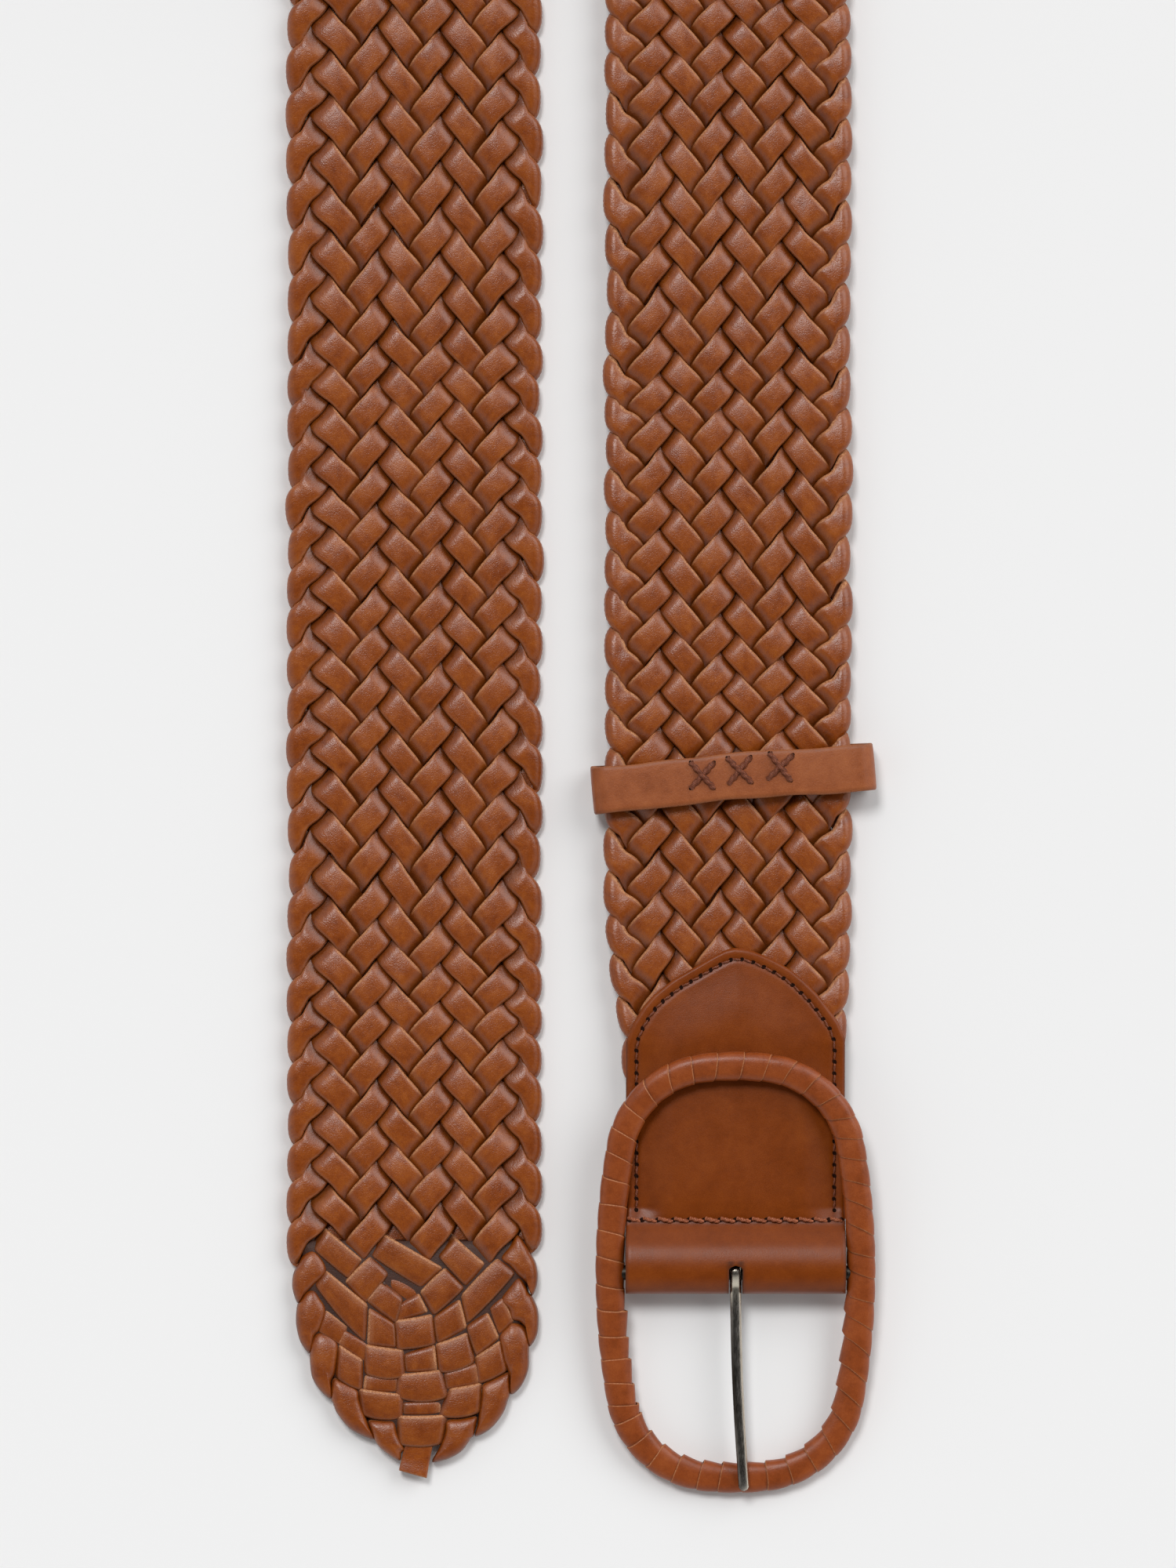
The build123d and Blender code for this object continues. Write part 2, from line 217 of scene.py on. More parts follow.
class Nodes:
    def __init__(self, name):
        self.mat = bpy.data.materials.new(name)
        self.mat.use_nodes = True
        self.t = self.mat.node_tree
        self.bsdf = self.t.nodes["Principled BSDF"]
        self.out = self.t.nodes["Material Output"]

    def n(self, kind, **kw):
        nd = self.t.nodes.new(kind)
        for k, v in kw.items():
            if k.startswith("_"):
                setattr(nd, k[1:], v)
            else:
                nd.inputs[k.replace("__", " ")].default_value = v
        return nd

    def link(self, a, b):
        self.t.links.new(a, b)

    def attr(self, name, vec=False):
        nd = self.n("ShaderNodeAttribute", _attribute_name=name)
        return nd.outputs["Vector"] if vec else nd.outputs["Fac"]

    def val(self, x, sock):
        if isinstance(x, (int, float)):
            sock.default_value = x
        else:
            self.link(x, sock)

    def math(self, op, a, b=0.0, clamp=False):
        nd = self.n("ShaderNodeMath", _operation=op, _use_clamp=clamp)
        self.val(a, nd.inputs[0])
        self.val(b, nd.inputs[1])
        return nd.outputs[0]

    def mix(self, fac, a, b, mode="MIX"):
        nd = self.n("ShaderNodeMix", _data_type="RGBA", _blend_type=mode)
        self.val(fac, nd.inputs["Factor"])
        for x, s in ((a, nd.inputs["A"]), (b, nd.inputs["B"])):
            if isinstance(x, tuple):
                s.default_value = x
            else:
                self.link(x, s)
        return nd.outputs["Result"]

    def noise(self, vec, scale, detail=3.0, rough=0.55, distort=0.0):
        nd = self.n("ShaderNodeTexNoise", Scale=scale, Detail=detail, Roughness=rough, Distortion=distort)
        self.link(vec, nd.inputs["Vector"])
        return nd.outputs["Fac"]

    def ramp(self, fac, stops):
        nd = self.n("ShaderNodeValToRGB")
        e = nd.color_ramp.elements
        while len(e) < len(stops):
            e.new(0.5)
        for el, (p, c) in zip(e, stops):
            el.position = p
            el.color = c
        self.link(fac, nd.inputs["Fac"])
        return nd.outputs["Color"]

    def maprange(self, x, a, b, c, d):
        nd = self.n("ShaderNodeMapRange")
        self.link(x, nd.inputs["Value"])
        nd.inputs["From Min"].default_value = a
        nd.inputs["From Max"].default_value = b
        nd.inputs["To Min"].default_value = c
        nd.inputs["To Max"].default_value = d
        return nd.outputs["Result"]


def leather(name, dark, mid, light, rough=0.46, grain=1.0, stretch=(1.0, 1.0, 1.0), mottle=0.35, bump=0.35,
            raw=srgb(196, 140, 98), spec=0.5, edge=True, coat=0.0):
    """Vegetable-tanned leather: dye mottling, pore grain, painted shade in the creases along the piece, raw fibrous cut
    edges.
    """
    m = Nodes(name)
    lc = m.attr("lc", True)
    mp = m.n("ShaderNodeMapping")
    mp.inputs["Scale"].default_value = stretch
    m.link(lc, mp.inputs["Vector"])
    v = mp.outputs["Vector"]
    big = m.noise(v, mottle, 4.0, 0.6, 0.4)
    med = m.noise(v, mottle * 4.3, 3.0, 0.6, 0.2)
    blend = m.math("ADD", m.math("MULTIPLY", big, 0.62), m.math("MULTIPLY", med, 0.38))
    col = m.ramp(blend, [(0.30, dark), (0.50, mid), (0.72, light)])
    fine = m.noise(v, 2.8 * grain, 4.0, 0.68)
    col = m.mix(0.20, col, m.ramp(fine, [(0.34, srgb(70, 70, 70)), (0.66, srgb(205, 205, 205))]), "SOFT_LIGHT")
    # pores
    vor = m.n("ShaderNodeTexVoronoi", Scale=1.9 * grain, Randomness=1.0)
    vor.feature = "F1"
    m.link(v, vor.inputs["Vector"])
    pore = m.maprange(vor.outputs["Distance"], 0.05, 0.5, 0.0, 1.0)
    # painted shade: darkened towards dark brown in creases, tucked ends and recesses
    deep = m.attr("deep")
    col = m.mix(m.math("MULTIPLY", deep, 0.85, True), col, srgb(38, 15, 4))
    # raw cut-edge colour; the mask also carries painted light, strongest on the edges facing the light
    if edge:
        fib = m.noise(lc, 2.3, 4.0, 0.7)
        e = m.math("MULTIPLY", m.attr("edge"), m.maprange(fib, 0.36, 0.60, 0.15, 1.0), True)
        fibre = m.ramp(m.noise(lc, 9.0, 2.0, 0.7), [(0.3, srgb(150, 92, 56)), (0.7, raw)])
        col = m.mix(e, col, fibre)
    m.link(col, m.bsdf.inputs["Base Color"])
    r = m.math("ADD", m.math("MULTIPLY", fine, 0.22), m.math("MULTIPLY", big, 0.16))
    r = m.math("ADD", r, rough - 0.19)
    if edge:
        r = m.math("ADD", r, m.math("MULTIPLY", m.attr("edge"), 0.3))
    m.link(r, m.bsdf.inputs["Roughness"])
    m.bsdf.inputs["Specular IOR Level"].default_value = spec
    m.bsdf.inputs["Coat Weight"].default_value = coat
    m.bsdf.inputs["Coat Roughness"].default_value = 0.3
    h = m.math("ADD", m.math("MULTIPLY", fine, 0.5), m.math("MULTIPLY", pore, 0.35))
    h = m.math("ADD", h, m.math("MULTIPLY", m.noise(v, 0.9 * grain, 3.0, 0.6), 0.5))
    b = m.n("ShaderNodeBump", Strength=bump, Distance=0.00022)
    m.link(h, b.inputs["Height"])
    m.link(b.outputs["Normal"], m.bsdf.inputs["Normal"])
    return m.mat


BRAID = leather("braid_leather_mat", srgb(118, 50, 2), srgb(140, 66, 5), srgb(160, 83, 11), rough=0.33, stretch=(0.7, 1.0, 1.0), spec=0.62, mottle=0.22, bump=0.30, grain=1.5, raw=srgb(226, 168, 118))
CHAPE = leather("chape_leather_mat", srgb(112, 48, 1), srgb(124, 55, 2), srgb(135, 63, 4), rough=0.38, grain=1.5, mottle=0.09, bump=0.14, spec=0.30)
KEEP = leather("keeper_leather_mat", srgb(132, 66, 26), srgb(150, 80, 38), srgb(163, 92, 47), rough=0.44, grain=1.1, mottle=0.12, bump=0.24, raw=srgb(190, 130, 88), spec=0.4)
COVER = leather("cover_leather_mat", srgb(122, 54, 12), srgb(142, 66, 19), srgb(157, 78, 27), rough=0.38, grain=1.3, mottle=0.15, bump=0.2, raw=srgb(204, 142, 90), spec=0.45)
# near-black brown: painted shade for the gaps in the woven tip
CORE_SHADE = leather("inner_shade_mat", srgb(48, 20, 5), srgb(60, 26, 7), srgb(72, 33, 10), rough=0.6, edge=False)


def thread_mat(name, a, b, rough=0.62):
    m = Nodes(name)
    lc = m.attr("lc", True)
    n1 = m.noise(lc, 3.0, 3.0, 0.6)
    w = m.n("ShaderNodeTexWave", Scale=1.3, Distortion=1.5, Detail=2.0)
    w.bands_direction = "DIAGONAL"
    m.link(lc, w.inputs["Vector"])
    f = m.math("ADD", m.math("MULTIPLY", n1, 0.6), m.math("MULTIPLY", w.outputs["Fac"], 0.4))
    m.link(m.ramp(f, [(0.3, a), (0.7, b)]), m.bsdf.inputs["Base Color"])
    m.bsdf.inputs["Roughness"].default_value = rough
    m.bsdf.inputs["Sheen Weight"].default_value = 0.03
    bp = m.n("ShaderNodeBump", Strength=0.5, Distance=0.0002)
    m.link(f, bp.inputs["Height"])
    m.link(bp.outputs["Normal"], m.bsdf.inputs["Normal"])
    return m.mat


THREAD = thread_mat("thread_mat", srgb(120, 56, 24), srgb(170, 96, 58))
THREAD_DK = thread_mat("thread_dark_mat", srgb(88, 38, 12), srgb(128, 62, 28))


# near-black discs: painted shade inside the stitch holes
def hole_shade_mat():
    m = Nodes("seam_hole_shade_mat")
    n1 = m.noise(m.attr("lc", True), 4.0, 2.0)
    m.link(m.ramp(n1, [(0.3, srgb(22, 8, 3)), (0.8, srgb(44, 18, 8))]), m.bsdf.inputs["Base Color"])
    m.bsdf.inputs["Roughness"].default_value = 0.8
    m.bsdf.inputs["Specular IOR Level"].default_value = 0.08
    return m.mat


HOLE_SHADE = hole_shade_mat()


def steel_mat(name, bright, dull, rough=0.24, own=False):
    """Worn polished steel: fine drawn lines, faint tarnish, a painted dark reflection down a flank and painted
    highlights along edges, where the attributes say so.
    """
    m = Nodes(name)
    if own:                                                  # parts carried over from CAD: their own coordinates, in mm
        om = m.n("ShaderNodeMapping")
        om.inputs["Scale"].default_value = (1000.0, 1000.0, 1000.0)
        m.link(m.n("ShaderNodeTexCoord").outputs["Object"], om.inputs["Vector"])
        lc = om.outputs["Vector"]
    else:
        lc = m.attr("lc", True)
    mp = m.n("ShaderNodeMapping")
    mp.inputs["Scale"].default_value = (6.0, 0.25, 6.0)
    m.link(lc, mp.inputs["Vector"])
    lines = m.noise(mp.outputs["Vector"], 1.6, 3.0, 0.6)
    tarn = m.noise(lc, 0.35, 3.0, 0.6)
    col = m.ramp(m.math("ADD", m.math("MULTIPLY", lines, 0.5), m.math("MULTIPLY", tarn, 0.5)), [(0.35, dull), (0.62, bright)])
    # painted dark reflection, then painted near-white highlights
    col = m.mix(m.attr("deep"), col, srgb(46, 40, 34))
    col = m.mix(m.attr("edge"), col, srgb(238, 228, 208))
    m.link(col, m.bsdf.inputs["Base Color"])
    m.bsdf.inputs["Metallic"].default_value = 1.0
    m.link(m.maprange(lines, 0.3, 0.7, rough - 0.06, rough + 0.12), m.bsdf.inputs["Roughness"])
    bp = m.n("ShaderNodeBump", Strength=0.12, Distance=0.0001)
    m.link(lines, bp.inputs["Height"])
    m.link(bp.outputs["Normal"], m.bsdf.inputs["Normal"])
    return m.mat


STEEL = steel_mat("steel_mat", srgb(196, 190, 182), srgb(128, 122, 114))
STEEL_RAW = steel_mat("steel_core_mat", srgb(84, 78, 72), srgb(48, 44, 40), 0.42, own=True)


# ================================================================ the braid
SB = 1133.37                 # y = s + SB on the buckle leg, y = -s on the tip leg
LEG_X, FLAT_END, TWIST, LOOP_R = 37.15, 356.0, 140.0, 45.0
APEX_S = -(FLAT_END + TWIST) - math.pi * LOOP_R / 2
H = 1.15                     # half the step between the two layers of laces
A = 3.95                     # spacing of the fourteen crossing columns
U0 = 27.85                   # where the edge folds begin
HW = 3.18                    # half width of one lace
BETA, BETA_E = 0.20, 0.42    # how far floats and folds lean away from the lace's average run
TURN = 7.5 * A               # unrolled distance from the middle to the fold

# where each fold sits along the strap, by phase: right edge at whole phases, left edge at half phases
PH_R = np.r_[np.arange(-69, -44), np.arange(0, 32)].astype(float)
S_R = np.array([-1017.0, -1008.0, -998.5, -988.8, -979.3, -969.8, -960.5, -951.9, -943.7, -935.3, -925.5, -914.7, -904.3,
                -894.3, -884.2, -874.4, -864.7, -854.6, -844.7, -835.0, -825.2, -815.4, -805.6, -796.3, -787.9,
                -344.3, -333.7, -323.1, -312.6, -301.7, -290.7, -279.7, -269.1, -259.3, -249.5, -239.5, -229.7, -220.3,
                -211.0, -201.7, -192.0, -182.4, -173.2, -163.8, -153.6, -143.3, -133.2, -123.1, -113.2, -103.6, -93.7,
                -84.0, -74.9, -65.3, -55.6, -46.1, -36.3])
PH_L = np.r_[np.arange(-68.5, -45), np.arange(-0.5, 31)]
S_L = np.array([-1014.0, -1003.9, -993.9, -983.9, -974.2, -964.7, -955.3, -946.0, -936.1, -926.3, -917.3, -908.1, -898.7,
                -889.2, -880.3, -871.8, -861.8, -851.0, -840.7, -830.2, -819.4, -809.1, -799.6, -790.4,
                -347.7, -337.8, -327.6, -317.2, -306.5, -295.8, -285.4, -275.1, -265.4, -256.3, -247.1, -237.7, -228.1,
                -218.2, -207.9, -198.1, -188.5, -178.1, -167.8, -158.1, -147.7, -136.5, -126.3, -117.4, -108.8, -99.8,
                -89.9, -79.5, -69.5, -59.5, -48.8, -38.5])


def hermite(x, y, q):
    m = np.gradient(y, x)
    i = np.clip(np.searchsorted(x, q) - 1, 0, len(x) - 2)
    h = x[i + 1] - x[i]
    t = (q - x[i]) / h
    out = ((2 * t ** 3 - 3 * t ** 2 + 1) * y[i] + (t ** 3 - 2 * t ** 2 + t) * h * m[i]
           + (-2 * t ** 3 + 3 * t ** 2) * y[i + 1] + (t ** 3 - t ** 2) * h * m[i + 1])
    out = np.where(q < x[0], y[0] + (q - x[0]) * 9.75, out)
    return np.where(q > x[-1], y[-1] + (q - x[-1]) * 9.75, out)


_PH = np.arange(-76, 38, 0.25)
_TR, _TL = hermite(PH_R, S_R, _PH), hermite(PH_L, S_L, _PH)


def s_of(phi, u):
    f = np.clip(u / 30.0, -1, 1) * 0.5 + 0.5
    rise = 1.0 - (np.clip(np.abs(u) / 27.0, 0, 1)) ** 4      # the middle of each leg runs a little ahead of its edges
    s = (1 - f) * np.interp(phi, _PH, _TL) + f * np.interp(phi, _PH, _TR)
    side = -np.clip((s - APEX_S) / 90.0, -1, 1)
    return s + 0.9 * rise * side


def strap_frame(s):
    """Centre, across, normal and half-width scale of the strap at s (mm along it, towards the tip)."""
    s = np.asarray(s, float)
    C = np.zeros(s.shape + (3,)); U = np.zeros_like(C); N = np.zeros_like(C); W = np.ones(s.shape)
    tip = s >= -(FLAT_END + TWIST)
    buc = s <= -(FLAT_END + TWIST) - math.pi * LOOP_R
    arc = ~(tip | buc)
    for mask, side in ((tip, -1.0), (buc, 1.0)):
        y = np.where(side < 0, -s[mask], s[mask] + SB)
        t = (y - FLAT_END) / TWIST
        st = sstep(t)
        phi = np.pi / 2 * st
        width = 58.0 if side > 0 else 60.0
        lift = 1.9 if side > 0 else 0.0
        cx = side * (LEG_X + (LOOP_R - LEG_X) * st)
        wid = np.full(y.shape, width)
        if side > 0:
            xl = np.interp(y, [104.3, 118.0, 130.0], [12.2, 9.7, 8.15])
            xr = np.interp(y, [104.3, 118.0, 130.0], [64.7, 65.6, 66.15])
            near = y < 131
            cx = np.where(near, (xl + xr) / 2, cx)
            wid = np.where(near, xr - xl, wid)
        cz = lift * (1 - st) + width / 2 * np.sin(phi) + 2.3 * np.cos(phi)
        inw = -side
        C[mask] = np.stack([cx, y, cz], -1)
        U[mask] = -np.stack([inw * np.cos(phi), 0 * y, np.sin(phi)], -1)
        N[mask] = np.stack([-inw * np.sin(phi), 0 * y, np.cos(phi)], -1)
        W[mask] = wid / 60.0
    f = (s[arc] + (FLAT_END + TWIST) + math.pi * LOOP_R) / (math.pi * LOOP_R)     # 0 buckle side, 1 tip side
    a = np.pi * f
    n = np.stack([np.cos(a), np.sin(a), 0 * a], -1)
    wid = 58.0 + 2.0 * f
    C[arc] = n * LOOP_R + np.stack([0 * a, 0 * a + FLAT_END + TWIST, wid / 2], -1)
    U[arc] = np.array([0, 0, -1.0])
    N[arc] = n
    W[arc] = wid / 60.0
    return C, U, N, W


_HW = np.array([-1.015, -0.955, -0.92, -0.84, -0.71, -0.54, -0.36, -0.18, 0.0, 0.18, 0.36, 0.54, 0.71, 0.84, 0.92, 0.955, 1.015])
_HZ = np.array([0.16, 0.58, 0.69, 0.82, 0.90, 0.95, 0.98, 0.995, 1.0, 0.995, 0.98, 0.95, 0.90, 0.82, 0.69, 0.58, 0.16])
SEC_W = np.r_[_HW, _HW[::-1]]
SEC_Z = np.r_[_HZ, -_HZ[::-1]]
SEC_EDGE = np.r_[1.0, 1.0, 1.0, 0.15, np.zeros(9), 0.15, 1.0, 1.0, 1.0, 1.0, 1.0, 1.0, 0.15, np.zeros(9), 0.15, 1.0, 1.0, 1.0]
NSEC = len(SEC_W)
MIDC = 8                     # index of the crown


def squeeze(q):
    """The inner columns lie a little closer together than the edge folds."""
    a = np.abs(q)
    k = 1 - 0.052 * (1 - sstep((a - 20.5) / 6.5))
    return q * k


def weave(tau):
    """Height (-1..1), closeness to a crossing boundary, and bulge, from the phase within one round of a lace."""
    t = np.mod(tau, 15.0)
    t = np.where(t >= 14.5, t - 15.0, t)
    x = np.where(t < 7.0, t - 0.25, t - 7.75)
    n = np.clip(np.round(x), 0, 6)
    up = np.where(np.mod(n, 2) == 0, 1.0, -1.0)
    d = x - n
    lev = up * (2 * sstep(d / 0.45 + 0.5) - 1)
    c = np.abs(np.mod(x, 1.0) - 0.5)              # 0 in the middle of a float
    inside = (x > 0) & (x < 6)
    bul = np.where(inside, 1 - (c / 0.5) ** 2, 0.5)
    pinch = np.exp(-(d / 0.13) ** 2)
    return lev, pinch, np.clip(bul, 0, 1), n


rng = np.random.default_rng(11)
JIT = rng.normal(0, 1, (15, 400, 4))


def lace_rows(k, ph0, ph1, step):
    """Section points of lace k between two phases: positions (rows, 14, 3) and its shading attributes."""
    fine = np.arange(ph0, ph1, 0.005)
    near = np.mod(fine - k + 0.5, 7.5)                        # folds fall every seven and a half phases
    near = np.minimum(near, 7.5 - near)
    weight = np.where(near < 0.55, 2.8, 1.0)
    cum = np.r_[0, np.cumsum(weight[:-1])] * 0.005
    phi = np.interp(np.linspace(0, cum[-1], max(8, int(cum[-1] / step))), cum, fine)
    tt = phi - k
    cyc = np.floor((tt + 0.5) / 15.0)
    tau = tt - 15.0 * cyc                                     # -0.5 .. 14.5
    # slow change from float to float
    r = tt - 0.75
    ri = np.floor(r).astype(int)
    rf = sstep(r - ri)
    j0 = JIT[k, np.mod(ri + 160, 400)]
    j1 = JIT[k, np.mod(ri + 161, 400)]
    J = j0 * (1 - rf[:, None]) + j1 * rf[:, None]
    q_c = 2 * A * tau - 6.5 * A
    u_c = np.where(tau < 7.0, q_c, 15 * A - q_c)
    pitch = (s_of(phi + 0.25, u_c) - s_of(phi - 0.25, u_c)) / 0.5
    pitch = np.clip(pitch, 8.4, 11.8)
    # floats lie flatter across the strap than the lace's average run; folds run steeper along the edge
    xx = np.where(tau < 7.0, tau - 0.25, tau - 7.75)
    zz_ = np.where(xx > 6, (xx - 6) / 1.5, (xx + 1.5) / 1.5)
    onedge = (xx > 6) | (xx < 0)
    slope = np.where(onedge, -BETA_E * np.cos(4 * np.pi * (zz_ - 0.25)), -BETA * np.cos(2 * np.pi * (xx - 0.5)))
    sway = np.where(onedge, -BETA_E * 1.5 / (4 * np.pi) * np.sin(4 * np.pi * (zz_ - 0.25)),
                    -BETA / (2 * np.pi) * np.sin(2 * np.pi * (xx - 0.5))) * pitch
    base_pitch = pitch
    pitch = pitch * (1 + slope)
    nn = np.hypot(2 * A, pitch)
    w = SEC_W[None, :] * HW * (1 + 0.03 * J[:, 3:4]) + 0.16 * J[:, 1:2]
    q = q_c[:, None] - w * (pitch / nn)[:, None]
    ds = w * (2 * A / nn)[:, None]
    tau_e = tau[:, None] + (w / nn[:, None]) * 0.5 * (2 * A / base_pitch - base_pitch / (2 * A))[:, None]
    lev, pinch, bul, _ = weave(tau_e + 0.02 * J[:, 2:3])
    zr = (1.0 - 0.42 * pinch)
    h = H * lev * (1 - 0.10 * pinch) + np.where(lev > 0, 0.62, 0.38) * np.sign(lev) * bul * (1 + 0.35 * J[:, 0:1])
    # the lace goes over each edge of the strap and comes back underneath
    dR = q - TURN
    dL = np.where(tau[:, None] < 7.0, q + TURN, q - 3 * TURN)
    right = np.abs(dR) < np.abs(dL)
    d = np.where(right, dR, dL)
    half = np.pi * H / 2
    onfold = np.abs(d) < half
    wn = np.abs(w) / HW
    lobe = np.exp(-(d / 4.2) ** 2)
    fat = 1.0 + 0.24 * lobe * (1 - wn ** 2)                 # the fold is plumper than the lace
    cut = (1.30 + 0.25 * J[:, 1:2]) * lobe * np.clip(wn, 0, 1.1) ** 2.4
    ext = U0 - cut + 0.25 * J[:, 0:1] * lobe
    Hf = H * fat
    inner = U0 - (np.abs(d) - half)
    inner = squeeze(inner) - (U0 - ext)
    ue = np.where(onfold, ext + Hf * np.cos(d / H), inner)
    he = np.where(onfold, -Hf * np.sin(d / H), 0)
    blend = sstep((np.abs(d) - half) / 3.4)
    hflat = np.where(d < 0, Hf, -Hf)
    h = np.where(onfold, he, blend * h + (1 - blend) * hflat)
    h = h - np.sign(h) * 0.35 * lobe * np.clip(wn, 0, 1) ** 2.5
    nu = np.where(onfold, np.cos(d / H), 0.0)
    nh = np.where(onfold, -np.sin(d / H), np.where(d < 0, 1.0, -1.0))
    sgn = np.where(right, 1.0, -1.0)
    u = sgn * ue
    u = u - 0.45 * (1 - np.clip(np.abs(u) / 28.0, 0, 1) ** 3) * np.where(phi > -22, 1.0, -0.3)[:, None]
    # +z of the section faces outwards on a right-hand fold and inwards on a left-hand fold
    zz = SEC_Z[None, :] * zr * sgn * 1.0
    # towards the middle the face is simply up or down
    u = u + zz * nu * sgn
    h = h + zz * nh
    s_mid = s_of(phi[:, None] + 0 * u, np.clip(u, -30, 30))
    s = s_mid + ds * np.where(np.abs(d) < 6, 1 - 0.10 * np.exp(-(d / 2.5) ** 2), 1.0) + sway[:, None]
    C, U, N, W = strap_frame(s)
    P = C + (u * W)[..., None] * U + h[..., None] * N
    # raw cut edges show where the wall stands clear; painted light: the tan shows fully only on the walls facing up the
    # strap towards the light, and the walls facing away are painted darker as shade
    wall = SEC_EDGE
    toward = np.where(SEC_W > 0, 1.0, 0.0)[None, :] * np.ones_like(u)   # w > 0 lies ahead, towards the tip
    tipside = (s > APEX_S)
    lit = np.where(tipside, 1 - toward, toward)
    edge = wall[None, :] * (0.12 + 0.88 * lit) * np.clip(1 - 1.3 * pinch, 0, 1)
    # painted shade where the laces cross, less on the folds
    deep = np.clip(0.72 * pinch ** 1.5, 0, 1) * (1 - lobe * 0.4)
    deep = np.clip(deep + 0.22 * np.clip(wn - 0.9, 0, 0.1) / 0.1 * (1 - lit), 0, 1)
    arc = 100.0 * k + (phi * 12.67)[:, None] + 0 * u
    lc = np.stack([arc, w + 13.0 * k, SEC_Z[None, :] + 0 * u], -1)
    return P, s[:, MIDC], edge, deep, lc


def lace_object(name, P, edge, deep, lc, cap0=True, cap1=True):
    b = Build()
    b.grid(P, close_v=True, edge=edge, deep=deep)
    q = []
    n, m = P.shape[:2]
    lcs = [lc.reshape(-1, 3)]
    for on, i, flip in ((cap0, 0, False), (cap1, n - 1, True)):
        if not on:
            continue
        ring = P[i]
        quads = []
        for j in range(m // 2 - 1):
            f = [j, j + 1, m - 2 - j, m - 1 - j]
            quads.append(f[::-1] if not flip else f)
        b.add(ring, np.array(quads), 0, edge=np.full(m, 0.8), deep=np.zeros(m))
        lcs.append(lc[i])
    return b.done(name, [BRAID], lc=np.concatenate(lcs))


STEP = 0.066
PH_START = -71.6
TIP_PH = 29.1


def lace_end(k):
    """Phase at which lace k ends at the tip: after its last float centred before TIP_PH."""
    best = None
    for c in range(0, 4):
        for base, n in ((0.75, 6), (8.25, 6)):
            for i in range(n + 1):
                ctr = k + 15 * c - 15 + base + i
                if ctr <= TIP_PH and (best is None or ctr > best[0]):
                    under = (i % 2 == 1)
                    best = (ctr, under)
    ctr, under = best
    return ctr + (0.42 if under else 0.86)


def nearest(s, value):
    return int(np.argmin(np.abs(s - value)))


for k in range(15):
    ph1 = lace_end(k)
    ph0 = PH_START + 0.9 * ((k * 7) % 5) / 5.0
    P, s, edge, deep, lc = lace_rows(k, ph0, ph1, STEP)
    c_b = nearest(s, 470.0 - SB)          # on the buckle side, well past the hinge
    c_t = nearest(s, -470.0)
    spans = (("buckle", 0, c_b + 1), ("loop", c_b, c_t + 1), ("tip", c_t, len(s)))
    for tag, i0, i1 in spans:
        o = lace_object("lace_%02d_%s" % (k + 1, tag), P[i0:i1], edge[i0:i1], deep[i0:i1], lc[i0:i1])
        if tag == "buckle":
            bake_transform(o)
            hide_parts("strap_buckle_leg", "strap_lace_ends")
        elif tag == "tip":
            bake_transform(o)
            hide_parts("strap_tip_leg")
        else:
            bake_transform(o)
            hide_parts("strap_loop_tip_half", "strap_loop_buckle_half")


# ================================================================ the woven tip
def tp(x, y):
    """Tip layout unit -> working mm."""
    return ((360 + x / 4.612 - 728.5) / 5.37, (1885 - (1560 + y / 4.612)) / 5.37)


